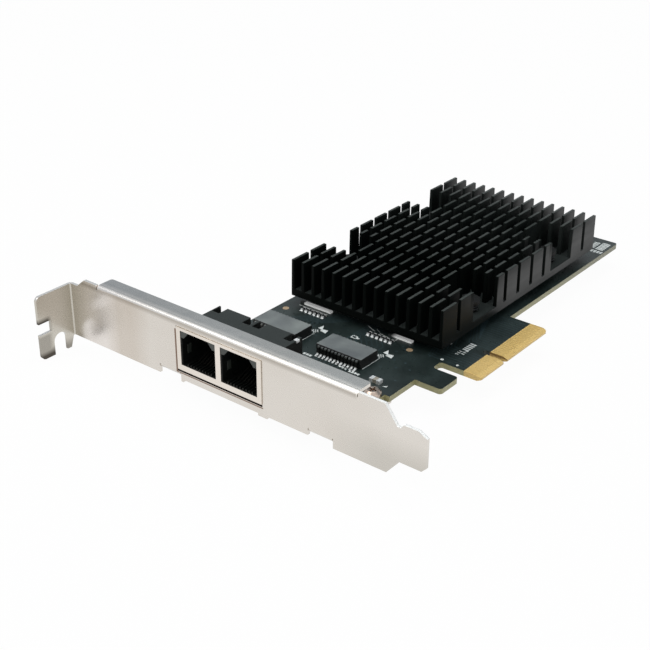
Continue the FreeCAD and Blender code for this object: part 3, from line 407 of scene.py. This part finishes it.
def filter_body():
    """Bright pale bodies of the line filters with a painted glow, which lights them in the heat
    sink's shade, and a dark band at one end.
    """
    glow = 0.2
    shader = Shader("pale_ceramic", Emission_Color=WHITE, Emission_Strength=glow)
    grain = shader.noise(8.0, 4)
    pale = shader.tones(shader.noise(0.15, 2), (228, 231, 229), (240, 242, 240))
    # Painted light: the pale parts glow faintly white.
    pale_glowing = shader.most(shader.within("X", -62.2, -45, 0.3), shader.beyond("X", -31.2, -29.4))
    shader.colour(shader.mix(pale_glowing, linear(40, 44, 43), pale))
    shader.drive(shader.level(pale_glowing, 0, glow), "Emission Strength")
    shader.rough(grain, 0.45, 0.6)
    return shader.bump(grain, 0.2, 0.012).material


def sheen_topped(name, top, side, top_mm, grain_scale, reflect):
    """A dark moulding whose upper face, from top_mm up, is painted paler than its sides as a
    painted sheen.
    """
    shader = Shader(name, Specular_IOR_Level=reflect)
    grain = shader.noise(grain_scale, 4)
    cloud = shader.noise(0.12, 3)
    dark = shader.tones(cloud, *side)
    upper = shader.mix(shader.beyond("Z", top_mm - 0.05, top_mm), dark, shader.tones(cloud, *top))
    shader.colour(shader.mix(shader.upright(0.7), upper, dark))
    shader.rough(grain, 0.42, 0.56)
    return shader.bump(grain, 0.2, 0.012).material


STEEL = bracket_steel()
SHIELD = sheet_metal("shield_plate", (222, 214, 204), (230, 222, 213), (0.2, 0.28), BRUSHED)
GOLD = sheet_metal("gold_plate", (219, 187, 115), (227, 196, 128), (0.34, 0.42), metallic=0.55)
COPPER = sheet_metal("bare_copper", (168, 144, 114), (184, 160, 130), (0.35, 0.45), metallic=0.25)
TIN = sheet_metal("tin_plate", (222, 224, 224), (238, 240, 240), (0.3, 0.45), metallic=0.6)
# Painted shade: the jack's contacts are near black, as if deep in the ports.
SHADED_GOLD = sheet_metal("shaded_gold", (13, 12, 9), (18, 17, 12), (0.45, 0.55), metallic=0.6)
NICKEL = sheet_metal("nickel", (176, 160, 148), (200, 186, 174), (0.2, 0.32))
WIRE = sheet_metal("spring_wire", (30, 32, 33), (42, 44, 45), (0.4, 0.5))
LEAD = lead_material()
BOARD = board_material()
FINS = anodised()
PALE = filter_body()
# Painted sheen: the upper faces of the jack and the modules are paler.
JACK = sheen_topped("jack_plastic", ((28, 34, 33), (35, 41, 40)), ((9, 11, 10), (12, 15, 13)),
                11.9, 6.0, 0.22)
MODULE = sheen_topped("module_epoxy", ((90, 95, 97), (124, 130, 128)), ((12, 14, 14), (17, 19, 19)),
                  2.6, 9.0, 0.36)
LENS = moulded("smoky_lens", (36, 40, 36), (50, 54, 50), (0.3, 0.4), 3.0)
EPOXY = moulded("chip_epoxy", (26, 27, 28), (36, 37, 38), (0.42, 0.55), 9.0)
FERRITE = moulded("ferrite", (52, 52, 54), (68, 68, 70), (0.6, 0.75), 8.0)
NYLON = moulded("black_nylon", (9, 10, 10), (14, 15, 15), (0.5, 0.6), 5.0,
                Specular_IOR_Level=0.2)
CERAMIC = moulded("tan_ceramic", (142, 137, 126), (158, 152, 140), (0.4, 0.55), 8.0)
SILICONE = moulded("grey_silicone", (148, 150, 150), (166, 168, 168), (0.7, 0.85), 4.0)
SILK = moulded("white_ink", (188, 194, 192), (210, 214, 212), (0.5, 0.65), 12.0, 0.006)
TRACE = moulded("masked_copper", (36, 50, 54), (44, 60, 64), (0.34, 0.46), 3.0, 0.006)
SUBSTRATE = moulded("package_laminate", (32, 52, 38), (42, 66, 48), (0.4, 0.5), 3.0)

FINISH = {
    "bracket": STEEL, "circuit_board": BOARD, "edge_contacts_top": GOLD,
    "edge_contacts_bottom": GOLD, "heat_sink": FINS, "thermal_pad": SILICONE,
    "controller_chip": SUBSTRATE, "heat_sink_pins": NYLON, "heat_sink_springs": WIRE,
    "jack_housing": JACK, "jack_shield": SHIELD, "jack_contacts_left": SHADED_GOLD,
    "jack_contacts_right": SHADED_GOLD, "jack_solder_pins": TIN, "magnetics_left": MODULE,
    "magnetics_right": MODULE, "magnetics_leads_left": LEAD, "magnetics_leads_right": LEAD,
    "bracket_screws": NICKEL, "line_filters": PALE, "crystal": TIN, "flash_memory": EPOXY,
    "power_inductors": FERRITE, "regulator_chips": EPOXY, "chip_capacitors": CERAMIC,
    "bottom_capacitors": CERAMIC, "chip_resistors": EPOXY,
}
for name, finish in FINISH.items():
    if not nodes[name].material_slots:
        nodes[name].data.materials.append(finish)
    for entry in nodes[name].material_slots:
        entry.material = finish


def soften(name, width_mm, segments):
    """Small worn edges on a CAD node, by modifiers alone."""
    item = nodes[name]
    weld = item.modifiers.new("weld", "WELD")
    weld.merge_threshold = 0.001 * MM
    bevel = item.modifiers.new("edges", "BEVEL")
    bevel.width = width_mm * MM
    bevel.segments = segments
    bevel.limit_method = "ANGLE"
    bevel.angle_limit = math.radians(35)
    bevel.use_clamp_overlap = True
    bevel.miter_outer = "MITER_ARC"
    shade = item.modifiers.new("normals", "WEIGHTED_NORMAL")
    shade.keep_sharp = False
    shade.weight = 100


for name, width, segments in (
        ("bracket", 0.12, 2), ("heat_sink", 0.14, 2), ("jack_housing", 0.18, 2),
        ("magnetics_left", 0.15, 2), ("magnetics_right", 0.15, 2), ("heat_sink_pins", 0.2, 2),
        ("bracket_screws", 0.12, 2), ("flash_memory", 0.1, 1), ("power_inductors", 0.3, 2),
        ("regulator_chips", 0.08, 1), ("crystal", 0.15, 2)):
    soften(name, width, segments)


# ------------------------------------------------------------ piece helpers

class Piece:
    """Mesh built up from simple forms, in millimetres of the frame."""

    def __init__(self, name):
        self.name = name
        self.mesh = bmesh.new()

    def point(self, x, y, z):
        return self.mesh.verts.new((x * MM, y * MM, z * MM))

    def box(self, x0, y0, z0, x1, y1, z1):
        corners = [self.point(x, y, z) for z in (z0, z1) for y in (y0, y1) for x in (x0, x1)]
        for face in ((0, 2, 3, 1), (4, 5, 7, 6), (0, 1, 5, 4),
                     (2, 6, 7, 3), (0, 4, 6, 2), (1, 3, 7, 5)):
            self.mesh.faces.new([corners[index] for index in face])

    def between(self, first, second):
        """Faces that join two loops with the same number of points."""
        for index in range(len(first)):
            after = (index + 1) % len(first)
            self.mesh.faces.new((first[index], first[after], second[after], second[index]))

    def closed(self, low, high):
        """A solid between two loops."""
        self.mesh.faces.new(high)
        self.mesh.faces.new(low[::-1])
        self.between(low, high)

    def prism(self, outline, z0, z1):
        """A flat outline given counter-clockwise, raised from z0 to z1."""
        self.closed(*([self.point(x, y, z) for x, y in outline] for z in (z0, z1)))

    def upright_prism(self, outline, y0, y1):
        """An outline of x and z, as seen from the front, raised from y0 back to y1."""
        self.closed(*([self.point(x, y, z) for x, z in outline] for y in (y0, y1)))

    def disc(self, x, y, radius, z0, z1, sides=20):
        self.prism(circle(x, y, radius, sides), z0, z1)

    def ring(self, x, y, inner, outer, z0, z1, sides=10):
        corners = ((inner, z0), (outer, z0), (outer, z1), (inner, z1))
        loops = [[self.point(px, py, z) for px, py in circle(x, y, radius, sides)]
                 for radius, z in corners]
        for first, second in zip(loops, loops[1:] + loops[:1]):
            self.between(first, second)

    def strip(self, points, width, z0, z1):
        """A flat line of one width through the points, with mitred turns."""
        left, right = [], []
        for index, (x, y) in enumerate(points):
            before = Vector(points[max(index - 1, 0)])
            after = Vector(points[min(index + 1, len(points) - 1)])
            here = Vector((x, y))
            ways = [way.normalized() for way in (here - before, after - here) if way.length > 1e-9]
            way = sum(ways, Vector((0, 0))).normalized()
            side = Vector((-way.y, way.x))
            reach = width / 2 / max(way.dot(ways[0]), 0.5)
            left.append(tuple(here + side * reach))
            right.append(tuple(here - side * reach))
        for index in range(len(points) - 1):
            self.prism([right[index], right[index + 1], left[index + 1], left[index]], z0, z1)

    def finish(self, material, slot, replaces=(), bevel_mm=0, smooth=False):
        data = bpy.data.meshes.new(self.name)
        bmesh.ops.recalc_face_normals(self.mesh, faces=self.mesh.faces)
        self.mesh.to_mesh(data)
        self.mesh.free()
        item = bpy.data.objects.new(self.name, data)
        bpy.context.scene.collection.objects.link(item)
        data.materials.append(material)
        if smooth:
            data.shade_smooth()
        if bevel_mm:
            bevel = item.modifiers.new("edges", "BEVEL")
            bevel.width = bevel_mm * MM
            bevel.segments = 2
        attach(item, "root")
        if replaces:
            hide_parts(*replaces)


def circle(x, y, radius, sides):
    turn = 2 * math.pi / sides
    return [(x + radius * math.cos(turn * i), y + radius * math.sin(turn * i))
            for i in range(sides)]


def box_mm(name):
    low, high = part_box(name)
    return [value / MM for value in low], [value / MM for value in high]


def chip_boxes(name):
    """Footprint and top of each separate solid of a node, in millimetres, from left to right."""
    mesh = bmesh.new()
    mesh.from_mesh(nodes[name].data)
    bmesh.ops.remove_doubles(mesh, verts=mesh.verts, dist=1e-6)
    left = set(mesh.verts)
    boxes = []
    while left:
        island, queue = set(), [left.pop()]
        while queue:
            vert = queue.pop()
            island.add(vert)
            for edge in vert.link_edges:
                other = edge.other_vert(vert)
                if other in left:
                    left.discard(other)
                    queue.append(other)
        xs, ys, zs = ([vert.co[axis] / MM for vert in island] for axis in range(3))
        boxes.append((min(xs), min(ys), max(xs), max(ys), max(zs)))
    mesh.free()
    return sorted(boxes)


BOTTOM = box_mm("circuit_board")[0][2]
SIDES = ("left", "right")
THIN = 0.02             # mm: thickness of ink, pads and bare copper
RUN_THICK = 0.012       # mm: rise of the masked copper runs
FIT = 0.02              # mm: how far an end cap stands out from its chip


# ------------------------------------------------------------ printed marks on the board

# The arrow by each module, as offsets from the module's far right corner.
ARROW_HEAD = ((-0.9, 3.7), (1.0, 3.3), (-0.5, 5.7))
ARROW_TAIL = ((0.5, 2.8), (2.7, 2.4), (2.3, 4.2), (0.8, 3.9))
HATCHES, HATCH_LEAN, HATCH_WIDTH = (0.0, 0.5, 1.0), 0.6, 0.26
HATCH_START, HATCH_END = (-1.3, 2.2), (0.0, 0.7)
SIDE_LINE, SIDE_LINE_SHIFT = (0.12, 0.32), 0.6
# Rows of ticks by the right module: offset of x and y from its near left corner, count,
# pitch, length along Y and width of a tick.
MODULE_TICKS = ((-2.45, -2.3, 3, 1.0, 0.9, 0.7), (9.35, -1.9, 3, 0.95, 0.8, 0.6),
                (12.85, -2.3, 4, 0.9, 0.9, 0.65))
PART_OUTLINE = (-39.6, -16.0, -38.0, -14.8, 0.36)
SCREW_MARK = ((-17.1, -32.1), (-16.0, -31.9), (-16.0, -31.0))
# Lines in front of the heat sink: their points and width.
SINK_LINES = ((((-39.8, -7.7), (-38.1, -8.5), (-36.5, -9.1)), 0.3),
              (((-36.6, -7.9), (-34.9, -8.9)), 0.15), (((-34.6, -9.3), (-31.2, -9.9)), 0.2),
              (((-28.9, -10.0), (-28.9, -8.9)), 0.3), (((-63.0, -9.8), (-52.6, -9.8)), 0.2))
# Solid blocks: near left and far right corners.
BLOCKS = ((-37.8, -15.9, -37.1, -15.2), (-19.4, 77.4, -16.6, 79.0),
          (-20.4, 75.8, -17.2, 76.5))
TONGUE_DOTS = ((-13.1, -10.7, 0.5), (-8.2, -10.8, 0.35), (-16.2, -1.9, 0.45))
# Columns of ticks by the tongue and at the far corner: x, y, count, pitch, length, width.
TONGUE_TICKS = ((-12.2, -5.8, 3, 0.95, 1.0, 0.3), (-10.9, -4.9, 3, 0.95, 0.9, 0.4),
                (-12.0, -2.6, 5, 0.95, 1.9, 0.55))
CORNER_TICKS = ((-18.0, 80.2, 5, 1.0, 1.8, 0.65), (-15.6, 79.8, 6, 1.0, 2.6, 0.7))
CORNER_ROW = (-16.2, 78.0, 4, 1.05, 1.6, 0.75)
FIDUCIALS = ((-64.7, -13.9), (-22.8, -11.9), (-63.0, 84.0))
FIDUCIAL_RADIUS = 0.95


def outline_mark(silk, x0, y0, x1, y1, line):
    """A thin printed rectangle."""
    for ends in (((x0, y0), (x1, y0)), ((x0, y1), (x1, y1)),
                 ((x0, y0), (x0, y1)), ((x1, y0), (x1, y1))):
        silk.strip(ends, line, 0, THIN)


def tick_row(silk, x, y, count, pitch, length, width):
    """A row of short printed ticks along +X."""
    for index in range(count):
        start = x + index * pitch
        silk.box(start, y - length / 2, 0, start + width, y + length / 2, THIN)


def tick_column(silk, x, y, count, pitch, length, width):
    """A column of short printed ticks along +Y."""
    for index in range(count):
        start = y + index * pitch
        silk.box(x, start, 0, x + length, start + width, THIN)


def arrow_mark(silk, x, y, near_y):
    """An arrow and hatches off a module's far right corner, and a line beside the module."""
    for outline in (ARROW_HEAD, ARROW_TAIL):
        silk.prism([(x + dx, y + dy) for dx, dy in outline], 0, THIN)
    for step in HATCHES:
        lean = step * HATCH_LEAN
        silk.strip([(x + HATCH_START[0] + step, y + HATCH_START[1] + lean),
                    (x + HATCH_END[0] + lean, y + HATCH_END[1] + step)], HATCH_WIDTH, 0, THIN)
    silk.box(x + SIDE_LINE[0], near_y + SIDE_LINE_SHIFT, 0,
             x + SIDE_LINE[1], y + SIDE_LINE_SHIFT, THIN)


def printed_marks():
    """Generic white ink: pin-one marks, arrows and ticks, with no lettering."""
    silk = Piece("printed_marks")
    for side in SIDES:
        low, high = box_mm("magnetics_" + side)
        arrow_mark(silk, high[0], high[1], low[1])
    low = box_mm("magnetics_right")[0]
    for x, y, *ticks in MODULE_TICKS:
        tick_row(silk, low[0] + x, low[1] + y, *ticks)
    outline_mark(silk, *PART_OUTLINE)
    silk.prism(SCREW_MARK, 0, THIN)
    for x0, y0, x1, y1 in BLOCKS:
        silk.box(x0, y0, 0, x1, y1, THIN)
    for points, width in SINK_LINES:
        silk.strip(points, width, 0, THIN)
    for x, y, radius in TONGUE_DOTS:
        silk.disc(x, y, radius, 0, THIN)
    for ticks in TONGUE_TICKS + CORNER_TICKS:
        tick_column(silk, *ticks)
    tick_row(silk, *CORNER_ROW)
    silk.finish(SILK, "laminate")


def fiducials():
    """Bare copper dots on both sides."""
    gold = Piece("bare_fiducials")
    for x, y in FIDUCIALS:
        gold.disc(x, y, FIDUCIAL_RADIUS, 0, THIN)
        gold.disc(x, y, FIDUCIAL_RADIUS, BOTTOM - THIN, BOTTOM)
    gold.finish(COPPER, "gold")


printed_marks()
fiducials()


# ------------------------------------------------------------ copper, pads and solder

LEADS = 12              # leads on one side of a module
LEAD_WIDTH = 0.6
PAD_PAST_LEAD, PAD_UNDER_LEAD = 0.3, 0.9

RUN_WIDTH = 0.22
TOP_RUN, BOTTOM_RUN = (0, RUN_THICK), (BOTTOM - RUN_THICK, BOTTOM)
UNDER_CHIP = 1          # how far a run ends inside the chip's edge
CHIP_INSET = (5, 4)     # from the chip's near left corner to its first runs
CONTACT_RUNS, CONTACT_PITCH, CHIP_PITCH = 28, 1.16, 0.62
CONTACT_INSET, CONTACT_GAP = 1.0, 0.2
KEY_GAP = (-1.6, 1.2)   # no run starts beside the key notch
FIRST_BEND, BEND_STEP, KNEE_SLOPE = -11.5, 0.42, 0.9
LOWER_BEND, LOWER_KNEE = 3, 2   # how far the runs below turn before those above
MODULE_RUNS, MODULE_INSET, MODULE_PITCH, MODULE_SHIFTS = 8, 1.4, 1.42, (0, 7)
GOAL_PITCH, TURN_START, TURN_STEP = 0.7, 1.2, 0.5
STUB_START, STUB_STEP, STUB_END = 1.0, 0.35, (1.2, 3.4)

VIA_SPOTS = [(x, y) for x in range(-65, -14, 3) for y in range(-36, 86, 3)]
VIA_COUNT, VIA_SHIFT, VIA_LENGTH = 170, 1, (-33, 84)
VIA_HOLE, VIA_RADIUS, VIA_THICK = 0.14, 0.34, THIN / 2

CAP_END, SMALL_CAP_END, RESISTOR_END = 1.0, 0.3, 0.4
SMALL_CAP_HIGH = 0.52
RESISTOR_SOLDER = (0.1, 0.45)   # past a resistor's sides, and out in front of it


def pads():
    """Tinned pads under the modules' leads."""
    tin = Piece("solder_pads")
    for side in SIDES:
        low, high = box_mm("magnetics_leads_" + side)
        pitch = (high[0] - low[0] - LEAD_WIDTH) / (LEADS - 1)
        for index in range(LEADS):
            x = low[0] + index * pitch
            for y0, y1 in ((low[1] - PAD_PAST_LEAD, low[1] + PAD_UNDER_LEAD),
                           (high[1] - PAD_UNDER_LEAD, high[1] + PAD_PAST_LEAD)):
                tin.box(x, y0, 0, x + LEAD_WIDTH, y1, THIN)
    tin.finish(TIN, "tinned")


def contact_runs(copper):
    """Runs from the edge contacts to the chip, on both sides of the board."""
    chip_low, chip_high = box_mm("controller_chip")
    contacts_low = box_mm("edge_contacts_top")[0]
    end = chip_high[0] - UNDER_CHIP
    for index in range(CONTACT_RUNS):
        y = contacts_low[1] + CONTACT_INSET + index * CONTACT_PITCH
        if KEY_GAP[0] < y < KEY_GAP[1]:
            continue
        start = (contacts_low[0] - CONTACT_GAP, y)
        target = chip_low[1] + CHIP_INSET[1] + index * CHIP_PITCH
        bend = FIRST_BEND - BEND_STEP * abs(index - CONTACT_RUNS / 2)
        knee = bend - abs(target - y) * KNEE_SLOPE
        if knee < end:
            knee = end + UNDER_CHIP
        copper.strip([start, (bend, y), (knee, target), (end, target)], RUN_WIDTH, *TOP_RUN)
        copper.strip([start, (bend - LOWER_BEND, y), (knee - LOWER_KNEE, target),
                      (end - LOWER_KNEE, target)], RUN_WIDTH, *BOTTOM_RUN)


def module_runs(copper):
    """Runs from the modules' far leads to the chip, and stubs off their near leads."""
    chip_low = box_mm("controller_chip")[0]
    for side, shift in zip(SIDES, MODULE_SHIFTS):
        low, high = box_mm("magnetics_leads_" + side)
        for index in range(MODULE_RUNS):
            x = low[0] + MODULE_INSET + index * MODULE_PITCH
            goal = chip_low[0] + CHIP_INSET[0] + index * GOAL_PITCH + shift
            turn = high[1] + TURN_START + index * TURN_STEP
            copper.strip([(x, high[1]), (x, turn), (goal, turn + abs(goal - x)),
                          (goal, chip_low[1] + UNDER_CHIP)], RUN_WIDTH, *TOP_RUN)
            copper.strip([(x, low[1]), (x, low[1] - STUB_START - STUB_STEP * index),
                          (x + STUB_END[0], low[1] - STUB_END[1])], RUN_WIDTH, *TOP_RUN)


def routes():
    """Masked copper runs, drawn as slightly raised lines."""
    copper = Piece("copper_runs")
    contact_runs(copper)
    module_runs(copper)
    copper.finish(TRACE, "laminate")


def vias():
    """Small tented holes, scattered beside the runs."""
    dots = Piece("tented_vias")
    random.shuffle(VIA_SPOTS)
    for x, y in VIA_SPOTS[:VIA_COUNT]:
        x += random.uniform(-VIA_SHIFT, VIA_SHIFT)
        y += random.uniform(-VIA_SHIFT, VIA_SHIFT)
        if not VIA_LENGTH[0] <= y <= VIA_LENGTH[1]:
            continue
        for z0, z1 in ((0, VIA_THICK), (BOTTOM - VIA_THICK, BOTTOM)):
            dots.ring(x, y, VIA_HOLE, VIA_RADIUS, z0, z1)
    dots.finish(TRACE, "laminate")


def capacitor_ends():
    """Tinned end caps of the ceramic chips and the small resistors."""
    tin = Piece("capacitor_ends")
    for x0, y0, x1, y1, z1 in chip_boxes("chip_capacitors"):
        for start, end in ((x0 - FIT, x0 + CAP_END), (x1 - CAP_END, x1 + FIT)):
            tin.box(start, y0 - FIT, 0, end, y1 + FIT, z1 + FIT)
    for x0, y0, x1, y1, _ in chip_boxes("bottom_capacitors"):
        for start, end in ((x0 - FIT, x0 + SMALL_CAP_END), (x1 - SMALL_CAP_END, x1 + FIT)):
            tin.box(start, y0 - FIT, BOTTOM - SMALL_CAP_HIGH, end, y1 + FIT, BOTTOM)
    beside, out = RESISTOR_SOLDER
    for x0, y0, x1, y1, z1 in chip_boxes("chip_resistors"):
        for start, end in ((y0 - FIT, y0 + RESISTOR_END), (y1 - RESISTOR_END, y1 + FIT)):
            tin.box(x0 - FIT, start, 0, x1 + FIT, end, z1 + FIT)
        tin.box(x0 - beside, y0 - out, 0, x1 + beside, y0 - FIT, THIN)
    tin.finish(TIN, "tinned")


pads()
routes()
vias()
capacitor_ends()


# ------------------------------------------------------------ jack trim

PORT_PITCH = 13.97
# Corners of a lens: distance from the middle of its port, and height.
LENS_CORNERS = ((6.05, 9.65), (4.95, 9.65), (3.3, 11.6), (6.05, 11.6))
LENS_RISE = 0.15        # how far a lens stands out in front of the housing
# Both faces of a finger from the middle of its port; depths are behind the jack's front.
FINGER_FACES, FINGER_DEPTH, FINGER_HEIGHT = (5.85, 5.73), (1.9, 3.3), (4.2, 6.8)
COMB_RIBS, COMB_PITCH, COMB_HALF = 9, 1.02, 0.17
COMB_DEPTH, COMB_HEIGHT = (0.1, 3.6), (1.65, 2.25)
# The clip over the housing's right edge: places before its rear, reaches and thicknesses.
CLIP_START, CLIP_END, CLIP_IN, CLIP_OUT, CLIP_DROP = 2.5, 1.3, 0.8, 0.25, 0.6
CLIP_THICK, CLIP_OVERLAP = 0.15, 0.02


def jack_trim():
    """Lamp lenses in the ports' upper corners, comb ribs at their floors and sprung fingers."""
    low, high = box_mm("jack_housing")
    middle = (low[0] + high[0]) / 2
    front = low[1]
    lenses, combs, fingers = (Piece(name) for name in
                              ("status_lenses", "contact_combs", "shield_fingers"))
    for centre in (middle - PORT_PITCH / 2, middle + PORT_PITCH / 2):
        for sign in (-1, 1):
            corners = [(centre + sign * across, up) for across, up in LENS_CORNERS]
            lenses.upright_prism(corners[::sign], front - LENS_RISE, front)
            faces = [centre + sign * across for across in FINGER_FACES]
            fingers.box(min(faces), front + FINGER_DEPTH[0], FINGER_HEIGHT[0],
                        max(faces), front + FINGER_DEPTH[1], FINGER_HEIGHT[1])
        for index in range(COMB_RIBS):
            x = centre + (index - COMB_RIBS // 2) * COMB_PITCH
            combs.box(x - COMB_HALF, front + COMB_DEPTH[0], COMB_HEIGHT[0],
                      x + COMB_HALF, front + COMB_DEPTH[1], COMB_HEIGHT[1])
    lenses.finish(LENS, "jack_plastic", bevel_mm=0.04)
    combs.finish(JACK, "jack_plastic", bevel_mm=0.04)
    # Painted shade: the shield's fingers inside the ports take the dark lens finish.
    fingers.finish(LENS, "shield_plate", bevel_mm=0.03)


def shield_clip():
    """A bent tab over the housing's right edge."""
    clip = Piece("shield_clip")
    x, y, z = box_mm("jack_housing")[1]
    near, far, right = y - CLIP_START, y - CLIP_END, x + CLIP_OUT
    clip.box(x - CLIP_IN, near, z, right, far, z + CLIP_THICK)
    clip.box(x, near, z - CLIP_DROP, right, far, z + CLIP_OVERLAP)
    clip.finish(TIN, "shield_plate", bevel_mm=0.06)


jack_trim()
shield_clip()


# ------------------------------------------------------------ springs

def wound_springs():
    """Round-wire springs in the place of the plain sleeves."""
    spring = Piece("wound_springs")
    sides, steps, turns, wire = 8, 26, 2.75, 0.32
    flat_end = 0.12     # share of the winding that lies flat at each end
    low, high = box_mm("heat_sink_springs")
    bottom, top = low[2] + wire, high[2] - wire
    count = int(steps * turns)
    for x0, y0, x1, y1, _ in chip_boxes("heat_sink_springs"):
        x, y = (x0 + x1) / 2, (y0 + y1) / 2
        radius = (x1 - x0) / 2 - wire
        loops = []
        for step in range(count + 1):
            part = step / count
            turn = 2 * math.pi * turns * part
            rise = min(max((part - flat_end) / (1 - 2 * flat_end), 0), 1)
            out = Vector((math.cos(turn), math.sin(turn), 0))
            centre = Vector((x, y, bottom + (top - bottom) * rise)) + out * radius
            loop = []
            for across, up in circle(0, 0, wire, sides):
                spot = centre + out * across + Vector((0, 0, up))
                loop.append(spring.mesh.verts.new(spot * MM))
            loops.append(loop)
        for first, second in zip(loops, loops[1:]):
            spring.between(first, second)
        spring.mesh.faces.new(loops[0][::-1])
        spring.mesh.faces.new(loops[-1])
    spring.finish(WIRE, "spring_steel", replaces=["heat_sink_springs"], smooth=True)


wound_springs()


# ------------------------------------------------------------ stage, light and camera

CENTRE = Vector((-0.05, 0.01, 0.0))


def join(tree, operation, first, second):
    """A Math node of a socket with another socket or a number."""
    node = tree.nodes.new("ShaderNodeMath")
    node.operation = operation
    tree.links.new(first, node.inputs[0])
    if isinstance(second, bpy.types.NodeSocket):
        tree.links.new(second, node.inputs[1])
    else:
        node.inputs[1].default_value = second
    return node.outputs[0]


def blend(tree, factor, first, second):
    """A shader between two others."""
    node = tree.nodes.new("ShaderNodeMixShader")
    for socket, source in zip(node.inputs, (factor, first.outputs[0], second.outputs[0])):
        tree.links.new(source, socket)
    return node


def seen_directly(tree):
    """1 for rays from the camera, through glass or off a gloss surface."""
    path = tree.nodes.new("ShaderNodeLightPath")
    total = path.outputs["Is Camera Ray"]
    for name in ("Is Glossy Ray", "Is Transmission Ray"):
        total = join(tree, "MAXIMUM", total, path.outputs[name])
    return path, total


def floor():
    """A pale floor that reads white to the camera and still takes a faint shadow."""
    reach, drop, lit_share = 3.0, 0.0003, 0.965
    data = bpy.data.meshes.new("floor")
    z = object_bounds()[0].z - drop
    corners = [(x, y, z) for x, y in ((-reach, -reach), (reach, -reach), (reach, reach),
                                      (-reach, reach))]
    data.from_pydata(corners, [], [(0, 1, 2, 3)])
    item = bpy.data.objects.new("floor", data)
    bpy.context.scene.collection.objects.link(item)
    material = bpy.data.materials.new("pale_floor")
    material.use_nodes = True
    tree = material.node_tree
    tree.nodes.clear()
    diffuse = tree.nodes.new("ShaderNodeBsdfDiffuse")
    diffuse.inputs["Color"].default_value = (0.72, 0.72, 0.72, 1)
    glow = tree.nodes.new("ShaderNodeEmission")
    glow.inputs["Strength"].default_value = 1.0
    share = join(tree, "MULTIPLY", seen_directly(tree)[1], lit_share)
    output = tree.nodes.new("ShaderNodeOutputMaterial")
    tree.links.new(blend(tree, share, diffuse, glow).outputs[0], output.inputs["Surface"])
    data.materials.append(material)
    item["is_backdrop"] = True


def world():
    """White to the camera; mirrors see white near the horizon and a grey ceiling above."""
    scene_world = bpy.data.worlds.new("studio")
    bpy.context.scene.world = scene_world
    scene_world.use_nodes = True
    tree = scene_world.node_tree
    tree.nodes.clear()
    white, ceiling, soft = (tree.nodes.new("ShaderNodeBackground") for _ in range(3))
    white.inputs["Color"].default_value = WHITE
    white.inputs["Strength"].default_value = 1.0
    soft.inputs["Color"].default_value = (0.93, 0.97, 1.0, 1)
    soft.inputs["Strength"].default_value = 0.35
    coords = tree.nodes.new("ShaderNodeTexCoord")
    split = tree.nodes.new("ShaderNodeSeparateXYZ")
    tree.links.new(coords.outputs["Generated"], split.inputs["Vector"])
    ceiling_height, ceiling_depth = (0.12, 0.44), (0.0, 0.55)
    parts = []
    for axis, (start, end) in (("Z", ceiling_height), ("Y", ceiling_depth)):
        rise = tree.nodes.new("ShaderNodeMapRange")
        rise.inputs["From Min"].default_value = start
        rise.inputs["From Max"].default_value = end
        tree.links.new(split.outputs[axis], rise.inputs["Value"])
        parts.append(rise.outputs["Result"])
    height = tree.nodes.new("ShaderNodeValToRGB")
    height.color_ramp.elements[0].color = WHITE
    height.color_ramp.elements[1].color = (0.36, 0.4, 0.43, 1)
    tree.links.new(join(tree, "MULTIPLY", *parts), height.inputs["Fac"])
    tree.links.new(height.outputs["Color"], ceiling.inputs["Color"])
    path, direct = seen_directly(tree)
    first = blend(tree, direct, soft, white)
    second = blend(tree, path.outputs["Is Glossy Ray"], first, ceiling)
    output = tree.nodes.new("ShaderNodeOutputWorld")
    tree.links.new(second.outputs[0], output.inputs["Surface"])


def lamp(name, place, size, power, colour):
    """A rectangular lamp that looks at the middle of the card."""
    data = bpy.data.lights.new(name, "AREA")
    data.shape = "RECTANGLE"
    data.size, data.size_y = size
    data.energy = power
    data.color = colour
    item = bpy.data.objects.new(name, data)
    item.location = place
    item.rotation_mode = "QUATERNION"
    item.rotation_quaternion = (CENTRE - Vector(place)).to_track_quat("-Z", "Y")
    bpy.context.scene.collection.objects.link(item)


def camera():
    """The view: azimuth, elevation and distance around a point of the card."""
    distance, target = 0.370525, Vector((-0.063117, 0.0029, -0.010723))
    azimuth, elevation, roll = (math.radians(value) for value in (38.449, 27.552, 0.35))
    data = bpy.data.cameras.new("camera")
    data.sensor_width = 36.0
    data.lens = 68.55
    data.shift_x = -0.0024
    data.shift_y = -0.0049
    data.clip_start, data.clip_end = 0.01, 20
    item = bpy.data.objects.new("camera", data)
    back = Vector((math.sin(azimuth) * math.cos(elevation),
                   -math.cos(azimuth) * math.cos(elevation), math.sin(elevation)))
    right = Vector((math.cos(azimuth), math.sin(azimuth), 0))
    up = back.cross(right)
    level_right = right * math.cos(roll) + up * math.sin(roll)
    level_up = up * math.cos(roll) - right * math.sin(roll)
    turn = Matrix((level_right, level_up, back)).transposed().to_4x4()
    item.matrix_world = Matrix.Translation(target + back * distance) @ turn
    bpy.context.scene.collection.objects.link(item)
    bpy.context.scene.camera = item


floor()
world()
lamp("key", (-0.35, -0.45, 0.75), (0.6, 0.6), 2.8, (1.0, 0.985, 0.96))
lamp("front", (0.05, -0.9, 0.22), (0.8, 0.3), 2.6, (1.0, 0.985, 0.97))
lamp("fill", (0.75, -0.1, 0.35), (0.6, 0.5), 1.2, (1.0, 0.97, 0.94))
lamp("top", (-0.05, 0.15, 0.95), (0.6, 0.6), 5.0, (0.95, 0.98, 1.0))
camera()
bpy.context.scene.view_settings.view_transform = "Standard"
